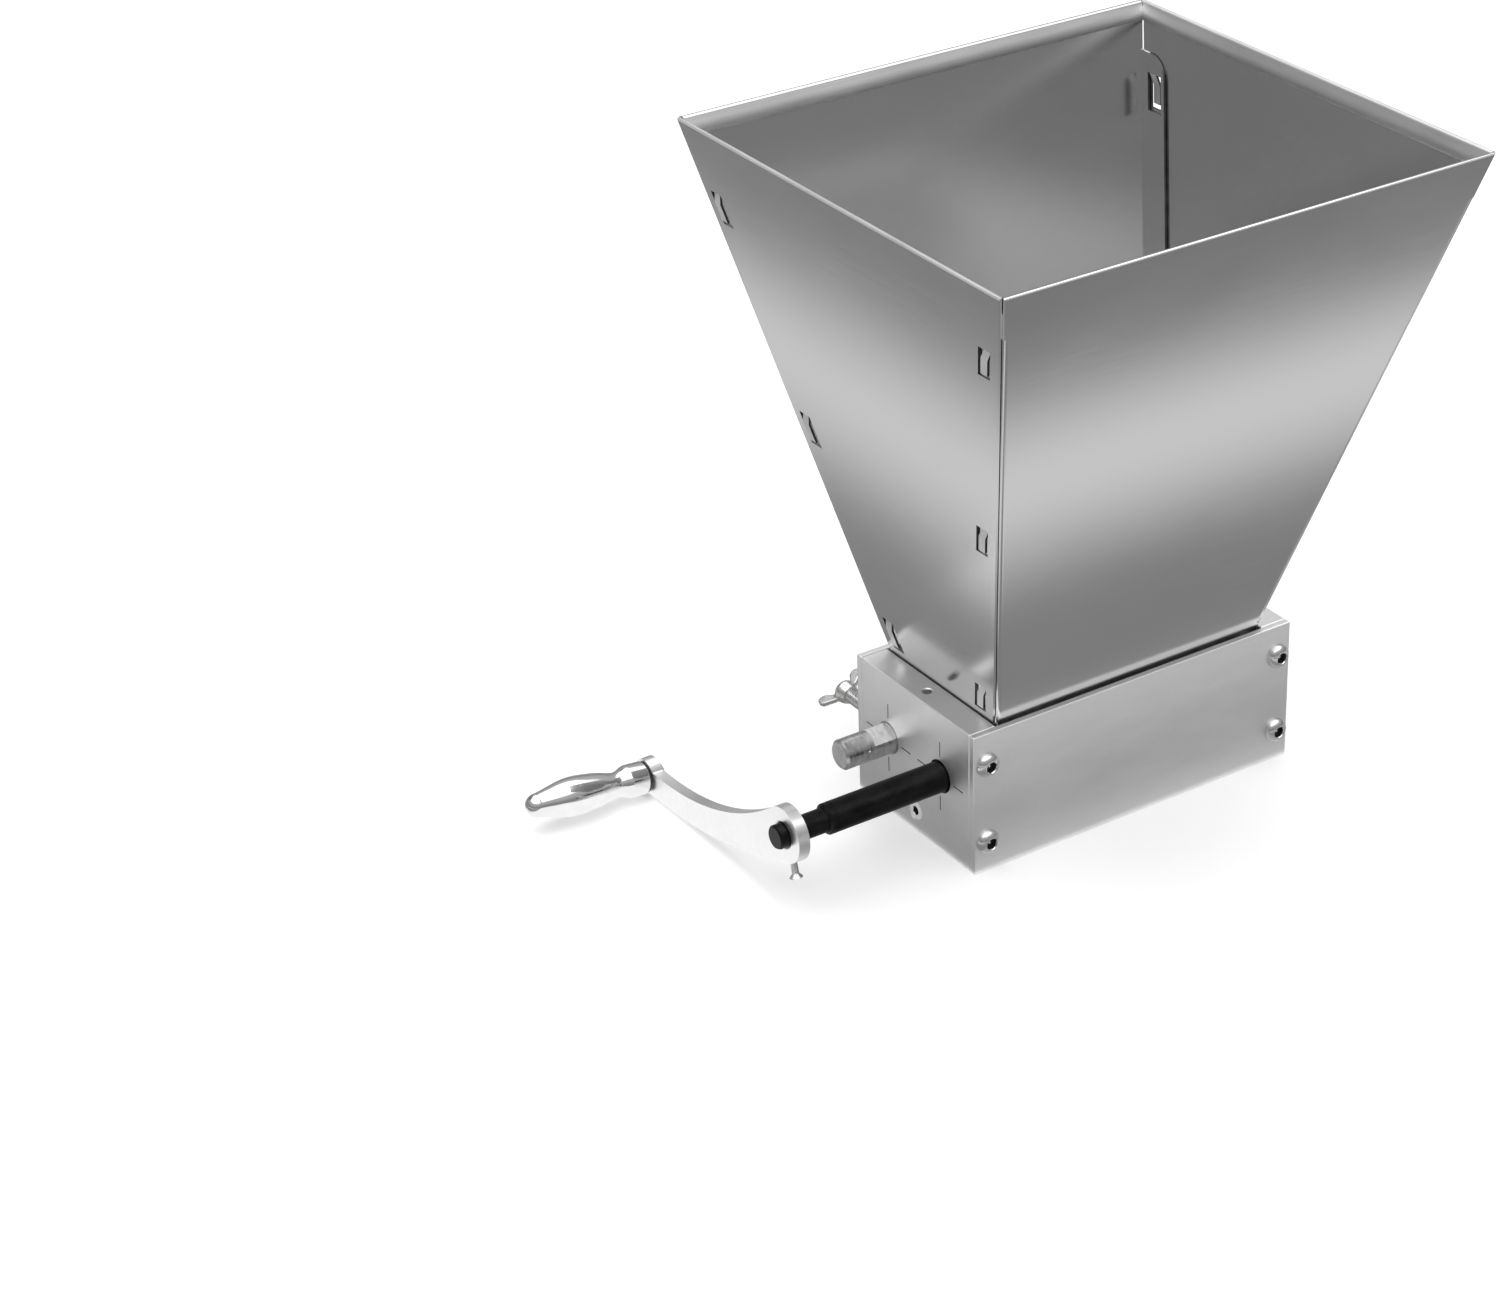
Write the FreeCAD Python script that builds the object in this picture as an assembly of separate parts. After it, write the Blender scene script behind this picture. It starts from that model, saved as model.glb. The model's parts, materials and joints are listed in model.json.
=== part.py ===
import FreeCAD
import Part

import os
from math import atan2, cos, degrees, hypot, radians, sin, sqrt, tan

V = FreeCAD.Vector

# Hand-cranked two-roller grain mill. Millimetres. X runs along the rollers, with the crank at -X.
# The front is the long face at -Y, and +Z is up. The origin is the centre of the housing's base.

# Housing
BLOCK_L, BLOCK_W, BLOCK_H = 158.0, 81.2, 62.6
END_T = 12.7                        # end plates
SIDE_T = 3.2                        # side plates
INNER_X = BLOCK_L / 2 - END_T       # inside faces of the end plates
INNER_Y = BLOCK_W / 2 - SIDE_T      # inside faces of the side plates
PLATE_X = BLOCK_L / 2 - END_T / 2   # middle of an end plate's thickness

# Roller shafts
AXIS_Z = 34.3
DRIVE_Y = -17.5
ADJUSTER_Y = 18.6
ECCENTRIC = 0.7                     # the idler's axis hangs this far below the adjusters' axis
IDLER_Z = AXIS_Z - ECCENTRIC
ROLLER_R = 17.5
ROLLER_HALF = 63.0
ROLLER_CHAMFER = 1.0
RUNNING = 0.05                      # radial clearance of every running fit

# Drive shaft, its bushes and its pin
SHAFT_R = 6.35
NECK_R = 5.0
SHAFT_END = -156.2
SHOULDER_X = -134.0
SHAFT_RIGHT = 78.5
NECK_FLAT = 0.7                     # depth of the flat that the crank's set screw bears on
NECK_CHAMFER, SHAFT_CHAMFER = 0.6, 1.0
BUSH_R = 8.0
BUSH_FLANGE_R = 10.5
BUSH_FLANGE_T = 3.0
BUSH_LIP = 1.5                      # thickness of the end plate left outside a bush
LIP_HOLE_R = 7.1
ROLLER_PIN_R = 2.0
ROLLER_PIN_X = 52.0
ROLLER_PIN_HALF = 16.0
NECK_GROOVE_X = -131.0              # a turned line round the shaft near the neck
NECK_GROOVE_W, NECK_GROOVE_DEPTH = 0.4, 0.25

# Adjusters
STUB_END = 102.6
STUB_FLAT_END = 89.2
STUB_FLAT_DEPTH = 2.0
STUB_FLAT_ANGLE = 110.0             # from +Y towards +Z
DOT_X, DOT_ANGLE, DOT_R = -92.2, 165.0, 0.8  # a punched dot on the stub
STUB_MOUTH = 0.65                   # chamfer round the stub on the end plate
END_PLAY = 0.1
COLLAR_R = 8.6
COLLAR_T = 2.9
PIN_R = 4.5
PIN_END = 50.5
IDLER_BUSH_R = 9.0
IDLER_BUSH_L = 12.0
IDLER_BORE_R = 6.5

# Fasteners
SCREW_X = PLATE_X
SCREW_Z = (13.9, 48.9)
M6_R, M5_R, M3_R = 3.0, 2.5, 1.5
M5_TAP_R = 2.1
DOME = ((0.0, 5.1), (0.5, 5.1), (1.4, 4.8), (2.3, 4.1), (3.0, 3.2), (3.3, 2.7))  # height, radius
DOME_SOCKET = (4.0, 2.1)            # across flats, depth
SIDE_HOLE_CLEARANCE = 0.3
TIE_Z = 9.4
TIE_R = 4.0
TIE_SCREW_L = 26.0
TIE_HEAD_R, TIE_HEAD_H = 4.8, 2.3   # countersunk
TIE_SOCKET = (3.0, 1.8)             # across flats, depth
BASE_HOLE_Y = 20.0
TAPPED_DEPTH, TAP_CHAMFER = 12.0, 0.4
DRILLED_PAST = 1.0                  # a tapped bore goes this much deeper than its screw

# Wing bolts: heights are from the rear plate's face, and most of the thread stands bare
WING_HUB = ((14.4, M6_R), (14.4, 3.7), (16.4, 4.5), (18.4, 4.9), (19.6, 4.7), (20.4, 3.8))
WING_EAR = ((3.0, 16.8), (6.6, 18.4), (8.6, 19.7), (10.1, 20.7), (10.9, 22.0), (10.9, 23.5), (10.0, 24.5),
            (8.6, 24.7), (7.3, 24.3), (6.1, 23.2), (4.7, 21.2), (2.6, 19.8))
WING_T = 2.0
WING_TIP_CHAMFER = 0.5
WING_ANGLE = 25.0                   # the left ear points this far below -X

# Crank
HUB_R = 11.6
ARM_T = 5.0
ARM_FRONT = -152.4
ARM_REAR = ARM_FRONT + ARM_T
ARM_REACH = 108.7
BOSS_R = 7.6
BORE_CHAMFER = 0.9
PIVOT_Z = 7.8
PIVOT_Y = DRIVE_Y + sqrt(ARM_REACH ** 2 - (AXIS_Z - PIVOT_Z) ** 2)
ARM_ANGLE = degrees(atan2(PIVOT_Z - AXIS_Z, PIVOT_Y - DRIVE_Y))
ARM_MID_UPPER = (63.5, -2.0)        # a point on each long edge: along the arm, and across it
ARM_MID_LOWER = (50.0, -15.1)
SET_SCREW_END = 18.4                # from the shaft's axis
SET_SCREW_HEAD_R = 2.8
SET_SCREW_HEAD_L, SET_SCREW_RIM = 1.65, 0.2
SET_SLOT_HALF, SET_SLOT_HALF_W, SET_SLOT_DEPTH = 1.5, 0.35, 0.9
HUB_UP, HUB_LOW = 62.0, -75.0       # where the arm's long edges leave the hub's round, in degrees
BOSS_UP, BOSS_LOW = 157.0, -103.0   # and where they meet the boss's

# Grip: it leans up from the shaft's direction on its axle
GRIP_LEAN = 5.2
WASHER_R, WASHER_T = 6.5, 0.7
WASHER_X = ARM_FRONT - 0.65         # centre of the washer's face on the arm
GRIP_L = 54.2
NOSE_R = 5.1
GRIP_PROFILE = ((0.0, 6.4), (0.6, 6.9), (7.4, 6.9), (9.4, 6.3), (11.6, 5.35), (18.0, 6.15),
                (26.0, 7.55), (32.0, 8.05), (36.0, 7.85), (43.0, 6.45), (GRIP_L - NOSE_R, NOSE_R))
AXLE_R = 3.0
AXLE_IN_GRIP = 44.0
RIVET_R, RIVET_T, RIVET_CHAMFER = 4.6, 2.2, 0.8
RING_S = 40.0                       # along the grip
RING_R, RING_BORE_R, RING_T = 3.7, 2.5, 1.0
RING_SLACK = 0.3                    # the grip's groove is this much wider on each side of the ring

# Hopper
HOPPER_BASE_X, HOPPER_BASE_Y = 66.0, 36.4
HOPPER_TOP_X, HOPPER_TOP_Y, HOPPER_TOP_Z = 113.05, 106.6, 279.8
SHEET = 1.0
SKIRT_Z = 57.0                      # the hopper's skirt stands on the grain guides
EDGE_GAP = 0.1                      # between the skirts of a long and a short panel
EDGE_SET = 1.25                     # a short panel's edge stops this far inside a long panel's face
HEM_H = 7.5
HEM_CUT_SHORT, HEM_CUT_LONG = 0.3, 1.2  # each hem stops this far from its panel's edge
FLANGE_SET = 1.3                    # from a short panel's outside to a flange's outside
FLANGE_W = 16.0
FLANGE_BOTTOM_Z, FLANGE_TOP_Z = 65.5, 261.0
FLANGE_ROUND = 13.0
BEND_R = 1.8
SLOT_Z = (72.5, 158.5, 246.5)       # middles of the slots in the short panels
SLOT_H, SLOT_W, SLOT_INSET = 13.0, 7.3, 6.1
WINDOW_W, WINDOW_INSET = 8.6, 5.5   # windows in the flanges, behind the slots
WINDOW_ABOVE, WINDOW_BELOW = 7.0, 7.5
WINDOW_SILL = 1.5                   # the least height of flange under a window
TONGUE_W, TONGUE_INSET = 4.0, 7.0
TONGUE_BEND, TONGUE_BELOW, TONGUE_PROUD = 2.4, 4.8, 0.6

# Grain guides: the upper surface of each, as (distance from the middle plane, height)
GUIDE_TOP = ((INNER_Y, SKIRT_Z), (34.4, SKIRT_Z), (28.6, 52.9))
GUIDE_T = 1.4
GUIDE_GROOVE = 1.5


def box(x0, x1, y0, y1, z0, z1):
    return Part.makeBox(x1 - x0, y1 - y0, z1 - z0, V(x0, y0, z0))


def cylinder(start, direction, radius, length):
    return Part.makeCylinder(radius, length, start, direction)


def prism(points, push):
    """A flat outline of points, pushed along a vector into a solid."""
    return Part.Face(Part.makePolygon(list(points) + [points[0]])).extrude(push)


def along(shape, origin, direction):
    """Turns a shape made along +X to run along a direction from an origin."""
    shape.Placement = FreeCAD.Placement(origin, FreeCAD.Rotation(V(1, 0, 0), direction))
    return shape


def turned(profile, origin, direction):
    """A turned piece: profile lists (distance along the axis, radius)."""
    points = [V(profile[0][0], 0, 0)] + [V(s, 0, r) for s, r in profile] + [V(profile[-1][0], 0, 0)]
    edges = [Part.makeLine(a, b) for a, b in zip(points, points[1:] + points[:1]) if (a - b).Length > 1e-6]
    face = Part.Face(Part.Wire(edges))
    return along(face.revolve(V(0, 0, 0), V(1, 0, 0), 360), origin, direction)


def hex_socket(across_flats, depth, origin, direction):
    radius = across_flats / sqrt(3)
    corners = [V(0, radius * cos(radians(60 * i)), radius * sin(radians(60 * i))) for i in range(6)]
    return along(prism(corners, V(depth, 0, 0)), origin, direction)


def drilled(shape, holes):
    for hole in holes:
        shape = shape.cut(hole)
    return shape


def rounding(corner, first, second, radius, push):
    """What a round takes off a corner between two unit directions, swept along a vector."""
    half = first.getAngle(second) / 2
    middle = (first + second).normalize()
    start, end = [corner + way * (radius / tan(half)) for way in (first, second)]
    arc = Part.Arc(start, corner + middle * (radius / sin(half) - radius), end)
    wire = Part.Wire([arc.toShape(), Part.makeLine(end, corner), Part.makeLine(corner, start)])
    return Part.Face(wire).extrude(push)


def mirrored_in_x(shape):
    return shape.mirror(V(0, 0, 0), V(1, 0, 0))


def mirrored_in_y(shape):
    return shape.mirror(V(0, 0, 0), V(0, 1, 0))


def button_screw(seat, outward):
    """A domed M6 screw with a hex socket, from its seat on a side plate."""
    body = turned([(-SIDE_T - TAPPED_DEPTH, M6_R), (0, M6_R)] + list(DOME), seat, outward)
    return body.cut(hex_socket(*DOME_SOCKET, seat + outward * DOME[-1][0], outward * -1))


# ---- housing ----

def guide_outline(side):
    upper = [V(0, side * y, z) for y, z in GUIDE_TOP]
    lower = [V(0, side * y, z - GUIDE_T) for y, z in reversed(GUIDE_TOP)]
    return upper + lower


def grain_guide(side):
    half = INNER_X + GUIDE_GROOVE
    guide = prism(guide_outline(side), V(2 * half, 0, 0))
    guide.translate(V(-half, 0, 0))
    return guide


def tapped(x, y, z, direction):
    """An M5 tapped hole with a small chamfer at its mouth, going in against its direction."""
    mouth = V(x, y, z)
    profile = [(-TAPPED_DEPTH, M5_TAP_R), (-TAP_CHAMFER, M5_TAP_R), (0, M5_TAP_R + TAP_CHAMFER)]
    return turned(profile, mouth, direction)


def end_plate_left():
    out, inn = -BLOCK_L / 2, -INNER_X
    plate = box(out, inn, -INNER_Y, INNER_Y, 0, BLOCK_H)
    x_dir, y_dir = V(1, 0, 0), V(0, 1, 0)
    bore_r = SHAFT_R + RUNNING
    holes = [
        cylinder(V(out, DRIVE_Y, AXIS_Z), x_dir, LIP_HOLE_R, END_T),
        cylinder(V(out + BUSH_LIP, DRIVE_Y, AXIS_Z), x_dir, BUSH_R, END_T),
        turned([(0, bore_r + STUB_MOUTH), (STUB_MOUTH, bore_r), (END_T, bore_r)],
               V(out, ADJUSTER_Y, AXIS_Z), x_dir),
        turned([(0, TIE_HEAD_R), (TIE_HEAD_H, M5_R), (END_T, M5_R)], V(out, 0, TIE_Z), x_dir),
        tapped(-PLATE_X, 0, BLOCK_H, V(0, 0, 1)),
        cylinder(V(-PLATE_X, ADJUSTER_Y, AXIS_Z), y_dir, M6_R + RUNNING, BLOCK_W / 2),
        grain_guide(-1),
        grain_guide(1),
    ]
    holes += [tapped(-PLATE_X, y, 0, V(0, 0, -1)) for y in (-BASE_HOLE_Y, BASE_HOLE_Y)]
    for z in SCREW_Z:
        for side in (-1, 1):
            start = V(-SCREW_X, side * (INNER_Y - TAPPED_DEPTH), z)
            holes.append(cylinder(start, V(0, side, 0), M6_R, TAPPED_DEPTH))
    return drilled(plate, holes)


def side_plate(side):
    inner, outer = sorted((side * INNER_Y, side * BLOCK_W / 2))
    plate = box(-BLOCK_L / 2, BLOCK_L / 2, inner, outer, 0, BLOCK_H)
    spots = [(x, z, M6_R) for x in (-SCREW_X, SCREW_X) for z in SCREW_Z]
    if side > 0:
        spots += [(x, AXIS_Z, M6_R + SIDE_HOLE_CLEARANCE) for x in (-PLATE_X, PLATE_X)]
    return drilled(plate, [cylinder(V(x, inner, z), V(0, 1, 0), r, SIDE_T) for x, z, r in spots])


def side_screws(side):
    screws = []
    for x in (-SCREW_X, SCREW_X):
        for z in SCREW_Z:
            seat = V(x, side * BLOCK_W / 2, z)
            screws.append(button_screw(seat, V(0, side, 0)))
    return Part.makeCompound(screws)


def tie_rod():
    rod = cylinder(V(-INNER_X, 0, TIE_Z), V(1, 0, 0), TIE_R, 2 * INNER_X)
    depth = TIE_SCREW_L - END_T + DRILLED_PAST
    ends = [cylinder(V(-x, 0, TIE_Z), V(x, 0, 0), M5_R, depth) for x in (-INNER_X, INNER_X)]
    return drilled(rod, ends)


def tie_rod_screws():
    screws = []
    for side in (-1, 1):
        face = V(side * BLOCK_L / 2, 0, TIE_Z)
        body = turned([(-TIE_SCREW_L, M5_R), (-TIE_HEAD_H, M5_R), (0, TIE_HEAD_R)], face, V(side, 0, 0))
        screws.append(body.cut(hex_socket(*TIE_SOCKET, face, V(-side, 0, 0))))
    return Part.makeCompound(screws)


def drive_bush_left():
    outer_end = -BLOCK_L / 2 + BUSH_LIP
    length = -INNER_X - outer_end
    profile = [(0, BUSH_R), (length, BUSH_R), (length, BUSH_FLANGE_R),
               (length + BUSH_FLANGE_T, BUSH_FLANGE_R)]
    start = V(outer_end, DRIVE_Y, AXIS_Z)
    bush = turned(profile, start, V(1, 0, 0))
    return bush.cut(cylinder(start, V(1, 0, 0), SHAFT_R + RUNNING, length + BUSH_FLANGE_T))


# ---- drive shaft and crank ----

def drive_axis(x):
    return V(x, DRIVE_Y, AXIS_Z)


def roller_pin(half_length):
    """The cross pin of the drive roller, leaning with the crank."""
    direction = V(0, cos(radians(ARM_ANGLE)), sin(radians(ARM_ANGLE)))
    start = drive_axis(ROLLER_PIN_X) - direction * half_length
    return cylinder(start, direction, ROLLER_PIN_R, 2 * half_length)


def roller_pin_hole():
    return roller_pin(ROLLER_R + 1)


def drive_shaft():
    profile = [
        (SHAFT_END, NECK_R - NECK_CHAMFER), (SHAFT_END + NECK_CHAMFER, NECK_R), (SHOULDER_X, NECK_R),
        (SHOULDER_X, SHAFT_R - SHAFT_CHAMFER), (SHOULDER_X + SHAFT_CHAMFER, SHAFT_R),
        (SHAFT_RIGHT - NECK_CHAMFER, SHAFT_R), (SHAFT_RIGHT, SHAFT_R - NECK_CHAMFER),
    ]
    shaft = turned(profile, drive_axis(0), V(1, 0, 0))
    flat_l = ARM_REAR + 1 - SHAFT_END
    flat = box(-flat_l / 2, flat_l / 2, -NECK_R, NECK_R, -NECK_R - 1, -NECK_R + NECK_FLAT)
    flat.rotate(V(0, 0, 0), V(1, 0, 0), ARM_ANGLE)
    flat.translate(drive_axis(SHAFT_END + flat_l / 2))
    start = drive_axis(NECK_GROOVE_X)
    groove = cylinder(start, V(1, 0, 0), SHAFT_R + 1, NECK_GROOVE_W)
    groove = groove.cut(cylinder(start, V(1, 0, 0), SHAFT_R - NECK_GROOVE_DEPTH, NECK_GROOVE_W))
    return drilled(shaft, [flat, groove, roller_pin_hole()])


def roller_blank(axis_start):
    profile = [(0, ROLLER_R - ROLLER_CHAMFER), (ROLLER_CHAMFER, ROLLER_R),
               (2 * ROLLER_HALF - ROLLER_CHAMFER, ROLLER_R), (2 * ROLLER_HALF, ROLLER_R - ROLLER_CHAMFER)]
    return turned(profile, axis_start, V(1, 0, 0))


def drive_roller():
    blank = roller_blank(drive_axis(-ROLLER_HALF))
    bore = cylinder(drive_axis(-ROLLER_HALF), V(1, 0, 0), SHAFT_R, 2 * ROLLER_HALF)
    return drilled(blank, [bore, roller_pin_hole()])


def arm_point(p, q, x=ARM_FRONT):
    """A point p along the arm from the shaft's axis and q across it, upwards."""
    c, s = cos(radians(ARM_ANGLE)), sin(radians(ARM_ANGLE))
    return V(x, DRIVE_Y + p * c - q * s, AXIS_Z + p * s + q * c)


def arm_outline():
    """Hub and boss rounds, joined by a hollow upper edge and a full lower edge, all arcs."""
    def hub(angle):
        return arm_point(HUB_R * cos(radians(angle)), HUB_R * sin(radians(angle)))

    def boss(angle):
        return arm_point(ARM_REACH + BOSS_R * cos(radians(angle)), BOSS_R * sin(radians(angle)))

    edges = [
        Part.Arc(hub(HUB_UP), hub(180), hub(HUB_LOW)),
        Part.Arc(hub(HUB_LOW), arm_point(*ARM_MID_LOWER), boss(BOSS_LOW)),
        Part.Arc(boss(BOSS_LOW), boss(0), boss(BOSS_UP)),
        Part.Arc(boss(BOSS_UP), arm_point(*ARM_MID_UPPER), hub(HUB_UP)),
    ]
    return Part.Wire([edge.toShape() for edge in edges])


def crank_arm():
    arm = Part.Face(arm_outline()).extrude(V(ARM_T, 0, 0))
    set_dir = arm_point(0, -1) - arm_point(0, 0)
    middle = drive_axis(ARM_FRONT + ARM_T / 2)
    bore = turned([(0, NECK_R + BORE_CHAMFER), (BORE_CHAMFER, NECK_R), (ARM_T, NECK_R)],
                  drive_axis(ARM_FRONT), V(1, 0, 0))
    holes = [bore, cylinder(middle, set_dir, M3_R, HUB_R + 2), grip_axle_shank()]
    return drilled(arm, holes)


def crank_set_screw():
    set_dir = arm_point(0, -1) - arm_point(0, 0)
    start = NECK_R - NECK_FLAT
    head = SET_SCREW_END - SET_SCREW_HEAD_L
    profile = [(start, M3_R), (head, M3_R), (SET_SCREW_END - SET_SCREW_RIM, SET_SCREW_HEAD_R),
               (SET_SCREW_END, SET_SCREW_HEAD_R)]
    middle = drive_axis(ARM_FRONT + ARM_T / 2)
    screw = turned(profile, middle, set_dir)
    top = middle + set_dir * SET_SCREW_END
    halves = (SET_SLOT_HALF, SET_SLOT_HALF_W)
    slot = [box(-SET_SLOT_DEPTH, 0, -w, w, -h, h) for w, h in (halves, halves[::-1])]
    return drilled(screw, [along(piece, top, set_dir) for piece in slot])


# ---- grip ----

GRIP_DIR = V(-cos(radians(GRIP_LEAN)), 0, sin(radians(GRIP_LEAN)))
WASHER_START = V(WASHER_X, PIVOT_Y, PIVOT_Z)
GRIP_START = WASHER_START + GRIP_DIR * WASHER_T


def grip_axle_shank():
    back = (ARM_REAR - WASHER_X) / cos(radians(GRIP_LEAN)) + 1.0
    return cylinder(WASHER_START - GRIP_DIR * back, GRIP_DIR, AXLE_R, back + WASHER_T + AXLE_IN_GRIP)


def grip_axle():
    """Shank through the arm, ring groove near its far end, and a rivet head behind the arm."""
    shank = grip_axle_shank()
    groove = cylinder(GRIP_START + GRIP_DIR * RING_S, GRIP_DIR, AXLE_R + 1, RING_T)
    core = cylinder(GRIP_START + GRIP_DIR * RING_S, GRIP_DIR, RING_BORE_R, RING_T)
    profile = [(0, RIVET_R), (RIVET_T - RIVET_CHAMFER, RIVET_R), (RIVET_T, RIVET_R - RIVET_CHAMFER)]
    head = turned(profile, V(ARM_REAR, PIVOT_Y, PIVOT_Z), V(1, 0, 0))
    return shank.cut(groove.cut(core)).fuse(head)


def grip_retaining_ring():
    start = GRIP_START + GRIP_DIR * RING_S
    ring = cylinder(start, GRIP_DIR, RING_R, RING_T)
    return ring.cut(cylinder(start, GRIP_DIR, RING_BORE_R, RING_T))


def grip_washer():
    washer = cylinder(WASHER_START, GRIP_DIR, WASHER_R, WASHER_T)
    return washer.cut(cylinder(WASHER_START, GRIP_DIR, AXLE_R, WASHER_T))


def grip():
    """Turned grip: collar, neck, swelling and a rounded end, on a blind bore with a ring groove."""
    curve = Part.BSplineCurve()
    curve.interpolate([V(s, 0, r) for s, r in GRIP_PROFILE[2:]])
    nose_s = GRIP_L - NOSE_R
    halfway = NOSE_R * sqrt(0.5)
    nose = Part.Arc(V(nose_s, 0, NOSE_R), V(nose_s + halfway, 0, halfway), V(GRIP_L, 0, 0)).toShape()
    first, second, third = [V(s, 0, r) for s, r in GRIP_PROFILE[:3]]
    edges = [Part.makeLine(V(0, 0, 0), first), Part.makeLine(first, second),
             Part.makeLine(second, third), curve.toShape(), nose, Part.makeLine(V(GRIP_L, 0, 0), V(0, 0, 0))]
    blank = Part.Face(Part.Wire(edges)).revolve(V(0, 0, 0), V(1, 0, 0), 360)
    along(blank, GRIP_START, GRIP_DIR)
    bore = cylinder(GRIP_START, GRIP_DIR, AXLE_R + RUNNING, AXLE_IN_GRIP + 0.5)
    groove = cylinder(GRIP_START + GRIP_DIR * (RING_S - RING_SLACK), GRIP_DIR, RING_R + RUNNING,
                      RING_T + 2 * RING_SLACK)
    return drilled(blank, [bore, groove])


# ---- adjusters and idler roller ----

def adjuster_axis(x):
    return V(x, ADJUSTER_Y, AXIS_Z)


def idler_axis(x):
    return V(x, ADJUSTER_Y, IDLER_Z)


def adjuster_left():
    """Stub with a milled flat, a collar inside the end plate, and the eccentric pin of the idler."""
    collar_start = -INNER_X + END_PLAY
    profile = [(-STUB_END, SHAFT_R - 1), (-STUB_END + 1, SHAFT_R), (collar_start, SHAFT_R),
               (collar_start, COLLAR_R), (collar_start + COLLAR_T, COLLAR_R)]
    stub = turned(profile, adjuster_axis(0), V(1, 0, 0))
    pin_start = collar_start + COLLAR_T
    pin = cylinder(idler_axis(pin_start), V(1, 0, 0), PIN_R, -PIN_END - pin_start)
    length = STUB_FLAT_END - BLOCK_L / 2
    flat = box(-STUB_FLAT_END, -STUB_FLAT_END + length, SHAFT_R - STUB_FLAT_DEPTH, 2 * SHAFT_R,
               -SHAFT_R, SHAFT_R)
    flat.rotate(V(0, 0, 0), V(1, 0, 0), STUB_FLAT_ANGLE)
    flat.translate(adjuster_axis(0))
    dot_dir = V(0, cos(radians(DOT_ANGLE)), sin(radians(DOT_ANGLE)))
    dot = Part.makeCone(0, DOT_R, DOT_R, adjuster_axis(DOT_X) + dot_dir * (SHAFT_R - DOT_R), dot_dir)
    return drilled(stub.fuse(pin), [flat, dot])


def idler_roller():
    blank = roller_blank(idler_axis(-ROLLER_HALF))
    bore = cylinder(idler_axis(-ROLLER_HALF), V(1, 0, 0), IDLER_BORE_R, 2 * ROLLER_HALF)
    seats = [cylinder(idler_axis(-x), V(x, 0, 0), IDLER_BUSH_R, IDLER_BUSH_L)
             for x in (-ROLLER_HALF, ROLLER_HALF)]
    return drilled(blank, [bore] + seats)


def idler_bush_left():
    start = idler_axis(-ROLLER_HALF)
    bush = cylinder(start, V(1, 0, 0), IDLER_BUSH_R, IDLER_BUSH_L)
    return bush.cut(cylinder(start, V(1, 0, 0), PIN_R + RUNNING, IDLER_BUSH_L))


# ---- wing bolts ----

def wing_bolt_left():
    """Shank from just clear of the adjuster's stub, a swelling hub, and two raised ears."""
    face = V(-PLATE_X, BLOCK_W / 2, AXIS_Z)
    tip = ADJUSTER_Y + SHAFT_R + END_PLAY - face.y
    point = [(tip, M6_R - WING_TIP_CHAMFER), (tip + WING_TIP_CHAMFER, M6_R)]
    bolt = turned(point + list(WING_HUB), face, V(0, 1, 0))
    curve = Part.BSplineCurve()
    curve.interpolate([V(-r, h, -WING_T / 2) for r, h in WING_EAR], PeriodicFlag=True)
    ear = Part.Face(Part.Wire([curve.toShape()])).extrude(V(0, 0, WING_T))
    for turn in (WING_ANGLE, WING_ANGLE + 180):
        placed = ear.copy()
        placed.rotate(V(0, 0, 0), V(0, -1, 0), turn)
        placed.translate(face)
        bolt = bolt.fuse(placed)
    return bolt


# ---- hopper ----

def half_x(z):
    """Half the hopper's outside length at a height."""
    return HOPPER_BASE_X + (z - BLOCK_H) * (HOPPER_TOP_X - HOPPER_BASE_X) / (HOPPER_TOP_Z - BLOCK_H)


def half_y(z):
    return HOPPER_BASE_Y + (z - BLOCK_H) * (HOPPER_TOP_Y - HOPPER_BASE_Y) / (HOPPER_TOP_Z - BLOCK_H)


def lean_x():
    """Cosine of the angle between the left or right wall and the vertical."""
    rise = HOPPER_TOP_Z - BLOCK_H
    return rise / hypot(rise, HOPPER_TOP_X - HOPPER_BASE_X)


def lean_y():
    rise = HOPPER_TOP_Z - BLOCK_H
    return rise / hypot(rise, HOPPER_TOP_Y - HOPPER_BASE_Y)


def inset(half, depth):
    """The bound that lies a given distance inside one of the hopper's outside bounds."""
    return lambda z: half(z) - depth


def opposite(bound):
    return lambda z: -bound(z)


def slab(x_bounds, y_bounds, z0, z1):
    """A six-sided block whose x and y bounds change evenly with height."""
    rings = []
    for z in (z0, z1):
        (xa, xb), (ya, yb) = [(low(z), high(z)) for low, high in (x_bounds, y_bounds)]
        rings.append([V(xa, ya, z), V(xb, ya, z), V(xb, yb, z), V(xa, yb, z)])
    low, high = rings
    outlines = [low[::-1], high] + [[low[i - 1], low[i], high[i], high[i - 1]] for i in range(4)]
    return Part.Solid(Part.Shell([Part.Face(Part.makePolygon(points + points[:1])) for points in outlines]))


def short_layer(depth, thickness=SHEET):
    """Bounds of a layer parallel to the right wall, from a depth behind its outside."""
    return inset(half_x, (depth + thickness) / lean_x()), inset(half_x, depth / lean_x())


def long_layer(depth, thickness=SHEET):
    return inset(half_y, (depth + thickness) / lean_y()), inset(half_y, depth / lean_y())


def beside_edge(distance, width):
    """Bounds of a strip that runs beside the rear corner, in y."""
    return inset(half_y, distance + width), inset(half_y, distance)


def both_ways(bound):
    return opposite(bound), bound


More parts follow.
